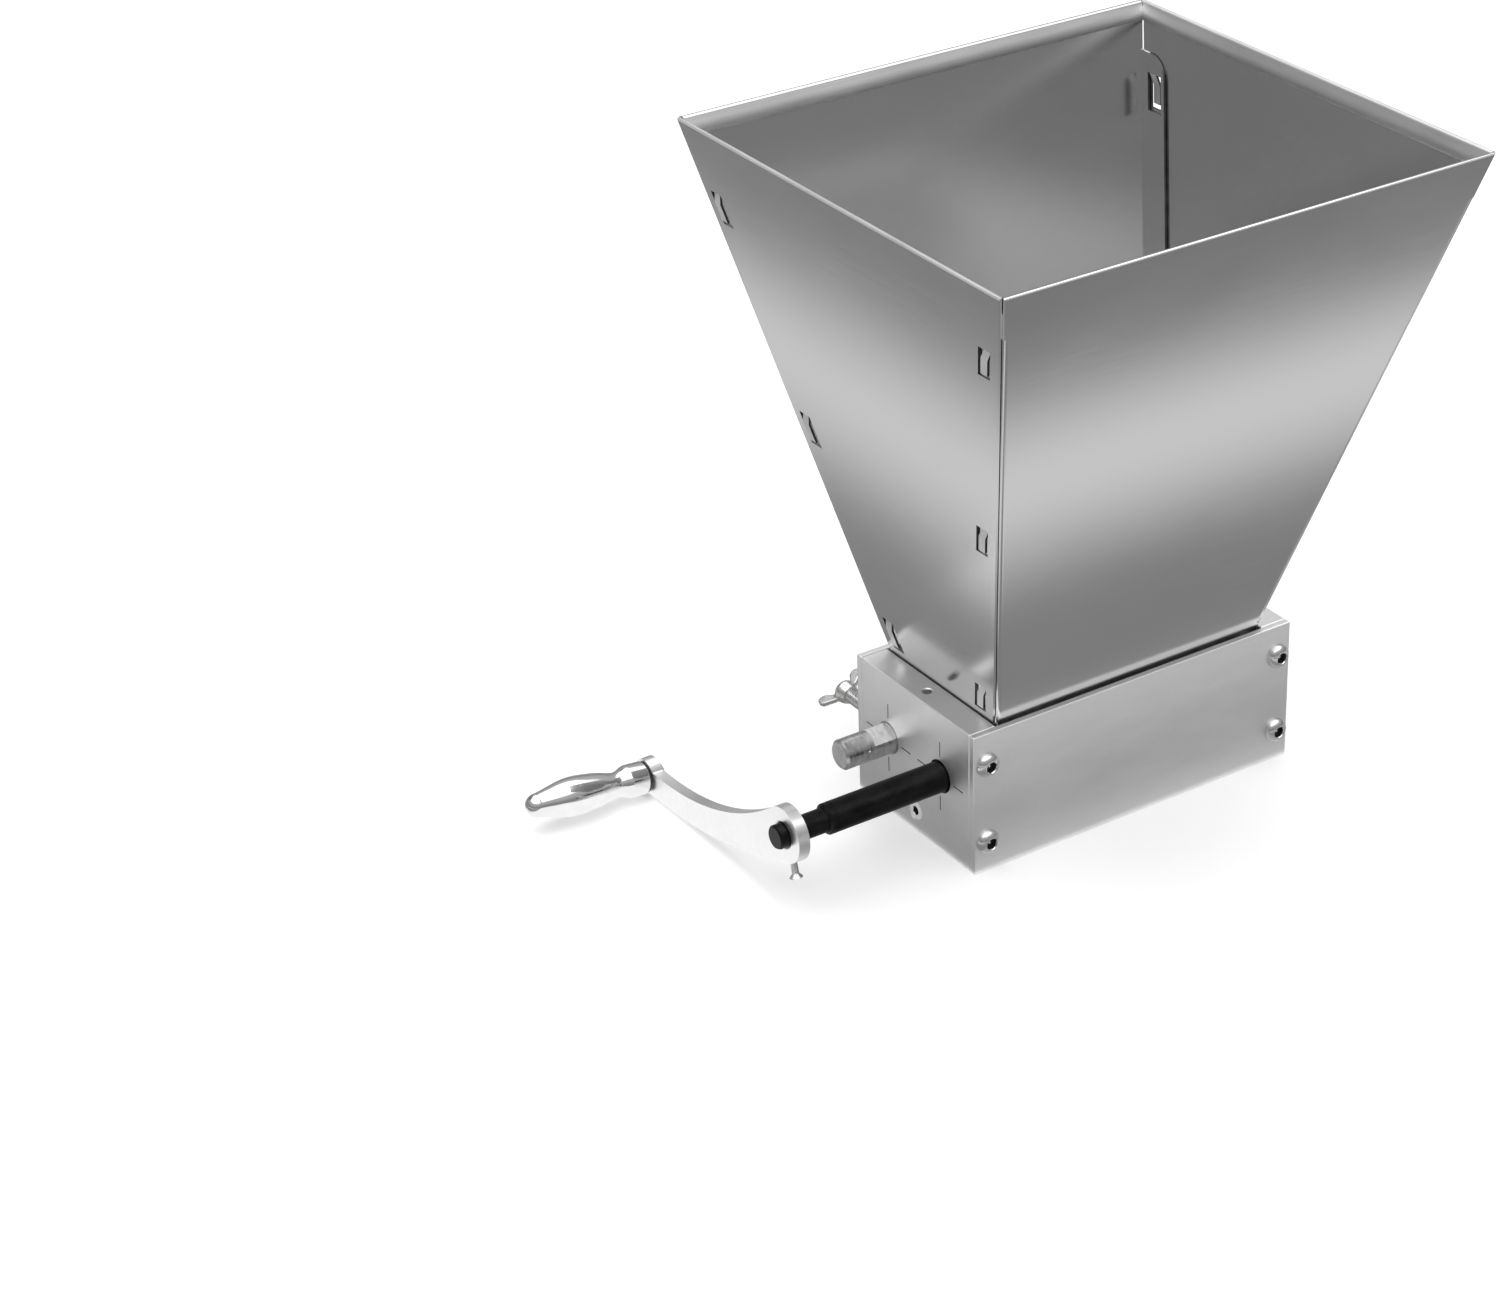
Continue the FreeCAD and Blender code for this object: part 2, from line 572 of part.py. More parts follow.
def short_panel_right():
    """Right wall with its hem, its skirt and the slots that the tongues come through."""
    edge = inset(half_y, EDGE_SET)
    panel = slab(short_layer(0), both_ways(edge), BLOCK_H, HOPPER_TOP_Z)
    hem_edge = inset(half_y, EDGE_SET + HEM_CUT_SHORT)
    panel = panel.fuse(slab(short_layer(SHEET), both_ways(hem_edge), HOPPER_TOP_Z - HEM_H, HOPPER_TOP_Z))
    reach = HOPPER_BASE_Y - EDGE_GAP
    panel = panel.fuse(box(HOPPER_BASE_X - SHEET / lean_x(), HOPPER_BASE_X, -reach, reach, SKIRT_Z, BLOCK_H))
    for z in SLOT_Z:
        slot = slab(short_layer(-2, 5), beside_edge(SLOT_INSET, SLOT_W), z - SLOT_H / 2, z + SLOT_H / 2)
        panel = drilled(panel, [slot, mirrored_in_y(slot)])
    return panel.removeSplitter()


def flange_right():
    """Flange of the rear panel behind the right one, with windows behind the slots."""
    flange = slab(short_layer(FLANGE_SET), beside_edge(0, FLANGE_W), FLANGE_BOTTOM_Z, FLANGE_TOP_Z)
    windows = []
    for z in SLOT_Z:
        low, high = max(z - WINDOW_BELOW, FLANGE_BOTTOM_Z + WINDOW_SILL), z + WINDOW_ABOVE
        windows.append(slab(short_layer(FLANGE_SET - 1, 3), beside_edge(WINDOW_INSET, WINDOW_W), low, high))
    corner = V(0, half_y(FLANGE_TOP_Z) - FLANGE_W, FLANGE_TOP_Z)
    down = V(0, HOPPER_BASE_Y - HOPPER_TOP_Y, BLOCK_H - HOPPER_TOP_Z).normalize()
    round_top = rounding(corner, V(0, 1, 0), down, FLANGE_ROUND, V(HOPPER_TOP_X, 0, 0))
    return drilled(flange, windows + [round_top])


def fold_right():
    """What the bend takes off the corner between the rear panel and its flange."""
    low, high = [V(half_x(z) - FLANGE_SET / lean_x(), half_y(z), z) for z in (FLANGE_BOTTOM_Z, FLANGE_TOP_Z)]
    way = (high - low).normalize()
    inward = V(-1, 0, 0), V(0, -1, 0)
    along_wall, along_flange = [(axis - way * axis.dot(way)).normalize() for axis in inward]
    return rounding(low - way * 5, along_wall, along_flange, BEND_R, high - low + way * 10)


def tongue_right(z):
    """Strip left standing at a window's top: it slopes out through the slot, then runs down outside."""
    strip = beside_edge(TONGUE_INSET, TONGUE_W)
    top, bend = z + WINDOW_ABOVE, z + TONGUE_BEND

    def sloping(at_z):
        share = (top - at_z) / (top - bend)
        depth = FLANGE_SET - share * (FLANGE_SET + TONGUE_PROUD)
        return half_x(at_z) - depth / lean_x()

    jog = slab((inset(sloping, SHEET / lean_x()), sloping), strip, bend, top)
    return jog.fuse(slab(short_layer(-TONGUE_PROUD), strip, z - TONGUE_BELOW, bend))


def long_panel_rear():
    """Rear wall, folded round both corners into flanges. It stands on its skirt on a grain guide."""
    edge = inset(half_x, FLANGE_SET / lean_x())
    wall = slab(both_ways(edge), long_layer(0), FLANGE_BOTTOM_Z, FLANGE_TOP_Z)
    flange, fold = flange_right(), fold_right()
    folded = wall.fuse([flange, mirrored_in_x(flange)]).removeSplitter()
    folded = drilled(folded, [fold, mirrored_in_x(fold)])
    upper = slab(both_ways(edge), long_layer(0), FLANGE_TOP_Z, HOPPER_TOP_Z)
    lower = slab(both_ways(edge), long_layer(0), BLOCK_H, FLANGE_BOTTOM_Z)
    hem_edge = inset(half_x, (FLANGE_SET + HEM_CUT_LONG) / lean_x())
    hem = slab(both_ways(hem_edge), long_layer(SHEET), HOPPER_TOP_Z - HEM_H, HOPPER_TOP_Z)
    reach = edge(BLOCK_H)
    skirt = box(-reach, reach, HOPPER_BASE_Y - SHEET / lean_y(), HOPPER_BASE_Y, SKIRT_Z, BLOCK_H)
    tongues = [tongue_right(z) for z in SLOT_Z]
    tongues += [mirrored_in_x(tongue) for tongue in tongues]
    return folded.fuse([upper, lower, hem, skirt] + tongues).removeSplitter()


def build():
    end_left, bush_left, adjuster = end_plate_left(), drive_bush_left(), adjuster_left()
    idler_bush, wing_bolt = idler_bush_left(), wing_bolt_left()
    panel_rear, panel_right = long_panel_rear(), short_panel_right()
    return {
        "end_plate_left": end_left,
        "end_plate_right": mirrored_in_x(end_left),
        "side_plate_front": side_plate(-1),
        "side_plate_rear": side_plate(1),
        "side_screws_front": side_screws(-1),
        "side_screws_rear": side_screws(1),
        "drive_bush_left": bush_left,
        "drive_bush_right": mirrored_in_x(bush_left),
        "tie_rod": tie_rod(),
        "tie_rod_screws": tie_rod_screws(),
        "grain_guide_front": grain_guide(-1),
        "grain_guide_rear": grain_guide(1),
        "hopper_panel_front": mirrored_in_y(panel_rear),
        "hopper_panel_rear": panel_rear,
        "hopper_panel_left": mirrored_in_x(panel_right),
        "hopper_panel_right": panel_right,
        "drive_roller": drive_roller(),
        "drive_shaft": drive_shaft(),
        "drive_roller_pin": roller_pin(ROLLER_PIN_HALF),
        "crank_arm": crank_arm(),
        "crank_set_screw": crank_set_screw(),
        "grip_axle": grip_axle(),
        "grip_retaining_ring": grip_retaining_ring(),
        "grip_washer": grip_washer(),
        "grip": grip(),
        "adjuster_left": adjuster,
        "adjuster_right": mirrored_in_x(adjuster),
        "idler_roller": idler_roller(),
        "idler_bush_left": idler_bush,
        "idler_bush_right": mirrored_in_x(idler_bush),
        "wing_bolt_left": wing_bolt,
        "wing_bolt_right": mirrored_in_x(wing_bolt),
    }


os.makedirs("parts", exist_ok=True)
for name, shape in build().items():
    shape.exportStep("parts/" + name + ".step")
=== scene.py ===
import json
from math import acos, cos, floor, hypot, pi, radians, sin, sqrt

import bmesh
import bpy
from mathutils import Matrix, Quaternion, Vector

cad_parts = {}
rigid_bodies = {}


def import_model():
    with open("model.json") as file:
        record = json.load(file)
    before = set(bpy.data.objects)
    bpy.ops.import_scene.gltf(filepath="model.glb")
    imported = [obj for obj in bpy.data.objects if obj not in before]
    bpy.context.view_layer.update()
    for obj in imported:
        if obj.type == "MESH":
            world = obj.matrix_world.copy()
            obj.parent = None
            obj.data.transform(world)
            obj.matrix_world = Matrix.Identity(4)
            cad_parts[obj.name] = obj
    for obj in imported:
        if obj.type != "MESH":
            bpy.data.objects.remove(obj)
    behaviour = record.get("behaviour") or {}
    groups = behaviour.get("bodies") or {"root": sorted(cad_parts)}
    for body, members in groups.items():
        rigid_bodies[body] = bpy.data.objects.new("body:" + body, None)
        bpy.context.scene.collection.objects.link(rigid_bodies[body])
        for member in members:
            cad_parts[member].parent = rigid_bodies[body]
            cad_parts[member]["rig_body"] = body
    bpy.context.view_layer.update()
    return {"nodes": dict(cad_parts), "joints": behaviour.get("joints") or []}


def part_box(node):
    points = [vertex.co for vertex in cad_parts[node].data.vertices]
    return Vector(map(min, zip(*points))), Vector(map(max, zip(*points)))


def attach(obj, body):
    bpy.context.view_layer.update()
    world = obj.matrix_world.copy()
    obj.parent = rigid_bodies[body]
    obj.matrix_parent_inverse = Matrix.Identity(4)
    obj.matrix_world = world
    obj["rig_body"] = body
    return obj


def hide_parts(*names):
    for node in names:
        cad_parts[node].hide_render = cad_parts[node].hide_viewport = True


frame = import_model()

# Looks of the hand-cranked grain mill. Shapes are built in millimetres and scaled once, at the end.
# Places come from the frame: the boxes of the CAD nodes and the axes of the joints.

MM = 0.001
NODES = frame["nodes"]
JOINTS = {joint["name"]: joint for joint in frame["joints"]}


def span(node):
    """Lowest and highest corners of a CAD node, in millimetres."""
    low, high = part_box(node)
    return Vector(low) / MM, Vector(high) / MM


def joint_place(name):
    return Vector(JOINTS[name]["pos_m"]) / MM


def joint_way(name):
    return Vector(JOINTS[name]["axis"]).normalized()


DRIVE = joint_place("drive_spin")
ADJUSTER = joint_place("adjuster_left_turn")
PIVOT = joint_place("grip_spin")
GRIP_WAY = joint_way("grip_spin")
ARM_WAY = Vector((0, PIVOT.y - DRIVE.y, PIVOT.z - DRIVE.z)).normalized()
RIM_Z = span("hopper_panel_front")[1].z

# Edge rounds, in millimetres
PLATE_EDGE = 0.6
SHEET_EDGE = 0.14
RIM_EDGE = 0.95
ARM_EDGE = 0.75
SMALL_EDGE = 0.15
SHARP = radians(42)
ROUNDED_FROM = radians(28)

TOUCH = 0.01                        # places closer than this are the same place
WELD, FLAT = 0.002, radians(0.5)    # vertices to merge, and faces to join, in a copy of a CAD mesh

# Engraved marks round each shaft on the end plates
TICK_START, TICK_END = 9.0, 15.6
TICK_W, TICK_DEPTH, TICK_AREA, TICK_SLACK = 0.5, 0.45, 8.0, 0.1

# Hems of the hopper's rim
HEM_H, HEM_AREA, HEM_SWELL, HEM_SLACK = 7.5, 60.0, 0.4, 0.5
RIM_RUN = 20.0                      # the rim's edges are longer than this
HEM_CUTS = (0.2, 0.35, 0.5, 0.65, 0.8, 0.93)
CUT_AREA = 16.0                     # a slot's walls are smaller than this
TONGUE_AREA = 40.0                  # and so are a tongue's faces
FLANGE_FROM = 4.0                   # a flange starts this deep behind the face of its wall
LONG_COS, LONG_SIN = 0.9516, 0.3074  # lean of the front and rear walls
SHORT_COS, SHORT_SIN = 0.98, 0.21   # and of the left and right ones
INWARD = {"front": Vector((0, 1, 0)), "rear": Vector((0, -1, 0)), "left": Vector((1, 0, 0)),
          "right": Vector((-1, 0, 0))}
OUTWARD = {"left": Vector((-SHORT_COS, 0, -SHORT_SIN)), "right": Vector((SHORT_COS, 0, -SHORT_SIN))}
FACES_ALONG, FACES_INWARD, FACES_ACROSS = 0.9, 0.85, 0.7  # how far a face's normal follows a direction

# Knurl of the rollers, in diamonds of this size
KNURL_ROUND, KNURL_ALONG, KNURL_DEPTH = 2.2, 3.4, 0.5
KNURL_STEPS = 4

ROLLER_CHAMFER = 1.0
SHAFT_BORE, IDLER_BORE, PIN_HOLE_R = 6.35, 6.5, 2.0

# Button screws on the side plates
HEAD_R, HEAD_H, HEAD_SIDE, SEAT_CHAMFER, DOME_STEPS = 5.1, 3.3, 0.5, 0.1, 10
SOCKET_RIM, SOCKET_AF, SOCKET_DEPTH = 2.75, 4.0, 2.1
SOCKET_BEVEL, SOCKET_SLACK = 0.25, 0.05
HEXAGON_PAST, MOUTH_PAST = 1.0, 0.1  # how far the cutters stand out of the head
TIE_SCREW_L, TIE_SCREW_R, TIE_HEAD_H, TIE_HEAD_R = 26.0, 2.5, 2.3, 4.15
TIE_CROWN = ((-0.5, 0), (-0.3, 0), (-0.12, 0.2), (-0.03, 0.6), (0, 1.2))  # place, and step in from the side
TIE_SOCKET_RIM, TIE_SOCKET_AF, TIE_SOCKET_DEPTH = 2.3, 3.6, 1.8
SCREW_R, SCREW_L, SCREW_CHAMFER = 3.0, 15.2, 0.4
SCREW_TURNS = (12, 41, 27, 4)

# Wing bolts and the crank's set screw
THREAD_DEPTH = 0.6                  # of the pitch
THREAD_SLOPE, THREAD_CREST = 1.25, 0.12
WING_HUB_AT, WING_SHANK_R, WING_PITCH, WING_ROD_PAST = 14.4, 3.0, 1.0, 1.5
WING_VOXEL, WING_ROUNDS = 0.24, 5
SET_HEAD_AT, SET_START, SET_R, SET_PITCH = 16.75, 4.3, 1.5, 0.5
SET_END, SET_HEAD_R, SET_SLOT_L, SET_SLOT_W, SET_SLOT_DEPTH = 18.4, 2.8, 1.5, 0.35, 0.9
SET_ROOT, SET_ROOT_STEP, SET_ROD_GAP, SET_ROD_STEPS = 0.8, 0.1, 0.2, 28
SET_RIM = ((-0.35, 0.05), (-0.15, 0), (0, 0.2))  # place from the end, and step in from the radius

# Grip, along its axis from the arm
GRIP_BORE_R, GRIP_BORE_END, GRIP_STEP, GRIP_CORNERS = 3.05, 45.2, 0.3, 3

# Camera and its lens
CAMERA_AT = (-0.7573, -1.0002, 0.7715)
CAMERA_AZIMUTH, CAMERA_DOWN, CAMERA_ROLL = 33.57, 27.96, -1.13
CAMERA_LENS, CAMERA_SENSOR, CAMERA_CLIP = 85.44, 36, (0.01, 50)
CAMERA_SHIFT = (-0.0867, -0.0697)


# ---- mesh helpers ----

def cad_copy(node):
    """A CAD node's mesh with its flat faces whole again, in millimetres."""
    bm = bmesh.new()
    bm.from_mesh(NODES[node].data)
    bm.transform(Matrix.Scale(1 / MM, 4))
    bmesh.ops.remove_doubles(bm, verts=bm.verts, dist=WELD)
    bmesh.ops.dissolve_limit(bm, angle_limit=FLAT, verts=bm.verts, edges=bm.edges)
    return bm


def turn_between(edge):
    return edge.calc_face_angle(0.0)


def round_edges(bm, width, segments=2, wanted=None):
    """Rounds the sharp edges, or those of them that are wanted."""
    bm.normal_update()
    edges = [e for e in bm.edges if len(e.link_faces) == 2 and turn_between(e) > ROUNDED_FROM]
    if wanted:
        edges = [e for e in edges if wanted(e)]
    bmesh.ops.bevel(bm, geom=edges, offset=width, offset_type="OFFSET", segments=segments, profile=0.5,
                    affect="EDGES", clamp_overlap=True)
    return bm


def both_ends(edge, test):
    return all(test(vert.co) for vert in edge.verts)


def lathe(profile, steps=64, radius_at=None):
    """A closed turned shape about +X. The profile lists (distance, radius); radius 0 is a pole."""
    bm = bmesh.new()
    rings = []
    for index, (s, r) in enumerate(profile):
        if r < 1e-6:
            rings.append([bm.verts.new((s, 0, 0))])
            continue
        ring = []
        for step in range(steps):
            angle = 2 * pi * step / steps
            reach = radius_at(index, step, r) if radius_at else r
            ring.append(bm.verts.new((s, reach * cos(angle), reach * sin(angle))))
        rings.append(ring)
    for first, second in zip(rings, rings[1:] + rings[:1]):
        join_rings(bm, first, second)
    bmesh.ops.recalc_face_normals(bm, faces=bm.faces)
    return bm


def join_rings(bm, first, second):
    if len(first) == 1 and len(second) == 1:
        return
    steps = max(len(first), len(second))
    for i in range(steps):
        j = (i + 1) % steps
        if len(first) == 1:
            bm.faces.new((first[0], second[i], second[j]))
        elif len(second) == 1:
            bm.faces.new((first[i], second[0], first[j]))
        else:
            bm.faces.new((first[i], second[i], second[j], first[j]))


def place(bm, origin, way):
    """Turns a shape made along +X to run along a direction from an origin."""
    turn = Vector((1, 0, 0)).rotation_difference(Vector(way).normalized()).to_matrix().to_4x4()
    bm.transform(Matrix.Translation(Vector(origin)) @ turn)
    return bm


def prism(points, push):
    """A flat outline pushed along a vector."""
    bm = bmesh.new()
    face = bm.faces.new([bm.verts.new(p) for p in points])
    made = bmesh.ops.extrude_face_region(bm, geom=[face])
    moved = [item for item in made["geom"] if isinstance(item, bmesh.types.BMVert)]
    bmesh.ops.translate(bm, verts=moved, vec=push)
    bmesh.ops.recalc_face_normals(bm, faces=bm.faces)
    return bm


def block(x0, x1, y0, y1, z0, z1):
    corners = [(x0, y0, z0), (x1, y0, z0), (x1, y1, z0), (x0, y1, z0)]
    return prism(corners, (0, 0, z1 - z0))


def joined(shapes):
    whole = bmesh.new()
    for shape in shapes:
        mesh = bpy.data.meshes.new("part")
        shape.to_mesh(mesh)
        shape.free()
        whole.from_mesh(mesh)
        bpy.data.meshes.remove(mesh)
    return whole


def scratch(bm):
    """A temporary object that holds a shape while a modifier works on it."""
    mesh = bpy.data.meshes.new("scratch")
    bm.to_mesh(mesh)
    bm.free()
    made = bpy.data.objects.new("scratch", mesh)
    bpy.context.scene.collection.objects.link(made)
    return made


def modified(obj, others=()):
    """The evaluated shape of a temporary object, which is then removed."""
    bpy.context.view_layer.update()
    done = obj.evaluated_get(bpy.context.evaluated_depsgraph_get())
    bm = bmesh.new()
    bm.from_mesh(done.to_mesh())
    done.to_mesh_clear()
    for used in [obj] + list(others):
        mesh = used.data
        bpy.data.objects.remove(used)
        bpy.data.meshes.remove(mesh)
    return bm


def combined(bm, tool, operation="DIFFERENCE"):
    base, other = scratch(bm), scratch(tool)
    boolean = base.modifiers.new("combine", "BOOLEAN")
    boolean.operation = operation
    boolean.solver = "EXACT"
    boolean.object = other
    return modified(base, [other])


def piece(node, bm, *materials):
    """Finishes a shape as the visible piece that stands for a CAD node."""
    bm.transform(Matrix.Scale(MM, 4))
    bm.normal_update()
    for face in bm.faces:
        face.smooth = True
    for edge in bm.edges:
        edge.smooth = turn_between(edge) < SHARP
    mesh = bpy.data.meshes.new(node + "_piece")
    bm.to_mesh(mesh)
    bm.free()
    for material in materials:
        mesh.materials.append(material)
    made = bpy.data.objects.new(node + "_piece", mesh)
    bpy.context.scene.collection.objects.link(made)
    weighted = made.modifiers.new("normals", "WEIGHTED_NORMAL")
    weighted.keep_sharp = True
    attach(made, NODES[node]["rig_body"])
    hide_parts(node)
    return made


# ---- material helpers ----

FINE_SHARE, BROAD_SHARE = 0.45, 0.55  # of the grain and of the cloud in a metal's tone


class Tree:
    """Shorthands for one material's nodes."""

    def __init__(self, name):
        self.material = bpy.data.materials.new(name)
        self.material.use_nodes = True
        self.nodes = self.material.node_tree.nodes
        self.links = self.material.node_tree.links
        self.shader = self.nodes["Principled BSDF"]

    def put(self, socket, value):
        if isinstance(value, bpy.types.NodeSocket):
            self.links.new(value, socket)
        else:
            socket.default_value = value

    def node(self, kind, inputs, **settings):
        made = self.nodes.new("ShaderNode" + kind)
        for key, value in settings.items():
            setattr(made, key, value)
        for key, value in inputs.items():
            self.put(made.inputs[key], value)
        return made

    def place(self, origin=(0, 0, 0)):
        """Position on the object in millimetres from an origin."""
        coordinates = self.node("TexCoord", {}).outputs["Object"]
        scaled = self.node("VectorMath", {0: coordinates, 3: 1 / MM}, operation="SCALE").outputs[0]
        return self.node("VectorMath", {0: scaled, 1: origin}, operation="SUBTRACT").outputs[0]

    def noise(self, where, per_mm, detail=3.0, rough=0.55):
        """Noise whose frequency per millimetre may differ along x, y and z."""
        stretched = self.node("VectorMath", {0: where, 1: per_mm}, operation="MULTIPLY").outputs[0]
        settings = {"Vector": stretched, "Scale": 1.0, "Detail": detail, "Roughness": rough}
        return self.node("TexNoise", settings).outputs["Fac"]

    def span(self, value, low, high, start=0.3, end=0.7):
        """A number that runs from low to high while a value runs from start to end."""
        inputs = {"Value": value, "From Min": start, "From Max": end, "To Min": low, "To Max": high}
        return self.node("MapRange", inputs).outputs["Result"]

    def math(self, operation, first, second=0.0):
        return self.node("Math", {0: first, 1: second}, operation=operation).outputs[0]

    def tones(self, value, dark, light, start=0.3, end=0.7):
        """A colour between two tones."""
        ramp = self.node("ValToRGB", {"Fac": value})
        ramp.color_ramp.elements[0].position = start
        ramp.color_ramp.elements[0].color = (*dark, 1)
        ramp.color_ramp.elements[1].position = end
        ramp.color_ramp.elements[1].color = (*light, 1)
        return ramp.outputs["Color"]

    def bump(self, height, depth, base=None):
        """Depth is in millimetres."""
        inputs = {"Height": height, "Strength": 1.0, "Distance": depth * MM}
        if base:
            inputs["Normal"] = base
        return self.node("Bump", inputs).outputs["Normal"]

    def finish(self, colour, roughness, normal, metallic=1.0):
        self.put(self.shader.inputs["Base Color"], colour)
        self.put(self.shader.inputs["Roughness"], roughness)
        self.put(self.shader.inputs["Normal"], normal)
        self.shader.inputs["Metallic"].default_value = metallic
        return self.material


def grey(level, warm=0.0):
    return (level + warm, level, level - warm)


def grained_metal(name, dark, light, gloss, grain, depth, cloud=(0.05, 0.05, 0.05)):
    """Metal with a fine grain in its surface and a broad cloud in its tone and gloss."""
    tree = Tree(name)
    where = tree.place()
    fine = tree.noise(where, grain, 4.0)
    broad = tree.noise(where, cloud, 2.0)
    parts = tree.math("MULTIPLY", fine, FINE_SHARE), tree.math("MULTIPLY", broad, BROAD_SHARE)
    mixed = tree.math("ADD", *parts)
    colour = tree.tones(mixed, dark, light)
    roughness = tree.span(mixed, gloss[0], gloss[1])
    return tree.finish(colour, roughness, tree.bump(fine, depth))


def turned_metal(name, origin, dark, light, gloss, pitch=0.35, depth=0.006):
    """Metal with the fine rings that a lathe leaves, about an axis that runs along x."""
    tree = Tree(name)
    where = tree.place(origin)
    apart = tree.node("SeparateXYZ", {0: where})
    across = tree.node("CombineXYZ", {"X": 0.0, "Y": apart.outputs["Y"], "Z": apart.outputs["Z"]}).outputs[0]
    radius = tree.node("VectorMath", {0: across}, operation="LENGTH").outputs["Value"]
    along = tree.math("ADD", apart.outputs["X"], radius)
    rings = tree.math("SINE", tree.math("MULTIPLY", along, 2 * pi / pitch))
    uneven = tree.noise(where, (0.9, 0.25, 0.25), 3.0)
    height = tree.math("MULTIPLY", rings, uneven)
    colour = tree.tones(uneven, dark, light)
    roughness = tree.span(uneven, gloss[0], gloss[1])
    return tree.finish(colour, roughness, tree.bump(height, depth))


# ---- materials ----

def satin_aluminium():
    return grained_metal("satin_aluminium_look", grey(0.86), grey(0.94), (0.43, 0.5), (0.35, 0.9, 5.0),
                         0.006, (0.03, 0.05, 0.09))


def stainless_sheet():
    return grained_metal("stainless_sheet_look", grey(0.61), grey(0.65), (0.17, 0.21), (0.05, 0.05, 1.2),
                         0.0004, (0.012, 0.012, 0.02))


def hem_sheet_and_tongue_highlight():
    """The folded rim: the same sheet, duller where the fold was worked. On the tongues it is a painted
    highlight.
    """
    return grained_metal("hem_sheet_look", grey(0.68), grey(0.78), (0.4, 0.5), (0.04, 0.04, 1.6), 0.002,
                         (0.02, 0.02, 0.05))


def nickel_face():
    """Bright plating with some milk in it, so that it stays light where it faces the floor."""
    tree = Tree("nickel_face_look")
    where = tree.place()
    cloud = tree.noise(where, (0.9, 0.9, 0.9), 3.0)
    colour = tree.tones(cloud, grey(0.88), grey(0.97))
    return tree.finish(colour, tree.span(cloud, 0.3, 0.42), tree.bump(cloud, 0.01), 0.4)


# Cut edges, a little darker than bare sheet, but painted near black mostly as the shade of the gaps seen
# through the slots.
def cut_edge_with_slot_shade():
    return grained_metal("cut_edge_look", grey(0.06), grey(0.16), (0.4, 0.55), (1.0, 1.0, 2.0), 0.01,
                         (0.3, 0.3, 0.3))


def bright_fastener():
    return grained_metal("bright_fastener_look", grey(0.66), grey(0.8), (0.16, 0.28), (2.0, 2.0, 2.0), 0.006,
                         (0.4, 0.4, 0.4))


def black_oxide():
    return grained_metal("black_oxide_look", grey(0.012), grey(0.03), (0.34, 0.48), (0.5, 3.0, 3.0), 0.008,
                         (0.1, 0.2, 0.2))


def satin_steel():
    return grained_metal("satin_steel_look", grey(0.86), grey(0.94), (0.3, 0.38), (1.2, 0.3, 0.3), 0.003,
                         (0.06, 0.06, 0.06))


def polished_chrome():
    return grained_metal("polished_chrome_look", grey(0.82), grey(0.9), (0.06, 0.1), (0.2, 0.2, 0.2), 0.0004,
                         (0.08, 0.08, 0.08))


def zinc_plate():
    return grained_metal("zinc_plate_look", grey(0.62, 0.006), grey(0.8), (0.2, 0.36), (1.6, 1.6, 1.6), 0.02,
                         (0.25, 0.25, 0.25))


def sintered_bronze():
    return grained_metal("sintered_bronze_look", (0.42, 0.27, 0.13), (0.62, 0.43, 0.24), (0.4, 0.6),
                         (3.0, 3.0, 3.0), 0.02, (0.3, 0.3, 0.3))


def roller_steel():
    return grained_metal("roller_steel_look", grey(0.34), grey(0.52), (0.3, 0.45), (1.5, 1.5, 1.5), 0.01,
                         (0.05, 0.05, 0.05))


def black_polymer():
    tree = Tree("black_polymer_look")
    where = tree.place()
    pebble = tree.noise(where, (3.0, 3.0, 3.0), 4.0)
    colour = tree.tones(pebble, grey(0.012), grey(0.03))
    return tree.finish(colour, tree.span(pebble, 0.38, 0.55), tree.bump(pebble, 0.02), 0.0)


# Near black: painted shade inside the screw sockets. The engraved marks on the end plates are filled with it
# too.
def socket_shade_and_tick_fill():
    tree = Tree("socket_dark_look")
    where = tree.place()
    cloud = tree.noise(where, (1.2, 1.2, 1.2), 3.0)
    colour = tree.tones(cloud, grey(0.02), grey(0.07))
    return tree.finish(colour, tree.span(cloud, 0.4, 0.6), tree.bump(cloud, 0.02), 0.6)


def turned_steel(origin, name, dark=0.6, light=0.78):
    return turned_metal("turned_steel_" + name, origin, grey(dark), grey(light), (0.26, 0.42))


# ---- pieces ----

def tick_marks(x_face, outward):
    """Cutters for the four marks round each shaft."""
    marks = []
    x0, x1 = sorted((x_face - outward * TICK_DEPTH, x_face + outward))
    for axis in (DRIVE, ADJUSTER):
        for y, z in ((1, 0), (-1, 0), (0, 1), (0, -1)):
            ys = sorted((axis.y + y * TICK_START, axis.y + y * TICK_END)) if y else (axis.y - TICK_W / 2,
                                                                                  axis.y + TICK_W / 2)
            zs = sorted((axis.z + z * TICK_START, axis.z + z * TICK_END)) if z else (axis.z - TICK_W / 2,
                                                                                  axis.z + TICK_W / 2)
            marks.append(block(x0, x1, ys[0], ys[1], zs[0], zs[1]))
    return joined(marks)


def on_tick(co):
    """Whether a point lies on one of the marks, seen along x."""
    for axis in (DRIVE, ADJUSTER):
        reach = hypot(co.y - axis.y, co.z - axis.z)
        off = min(abs(co.y - axis.y), abs(co.z - axis.z))
        if TICK_START - TICK_SLACK < reach < TICK_END + TICK_SLACK and off < TICK_W:
            return True
    return False


def on_outline(node):
    """A test for the edges that lie on a node's own box, on two of its sides at once."""
    low, high = span(node)

    def sides(co):
        return sum(min(abs(co[i] - low[i]), abs(co[i] - high[i])) < TOUCH for i in range(3))

    def test(edge):
        middle = (edge.verts[0].co + edge.verts[1].co) / 2
        return sides(middle) >= 2

    return test


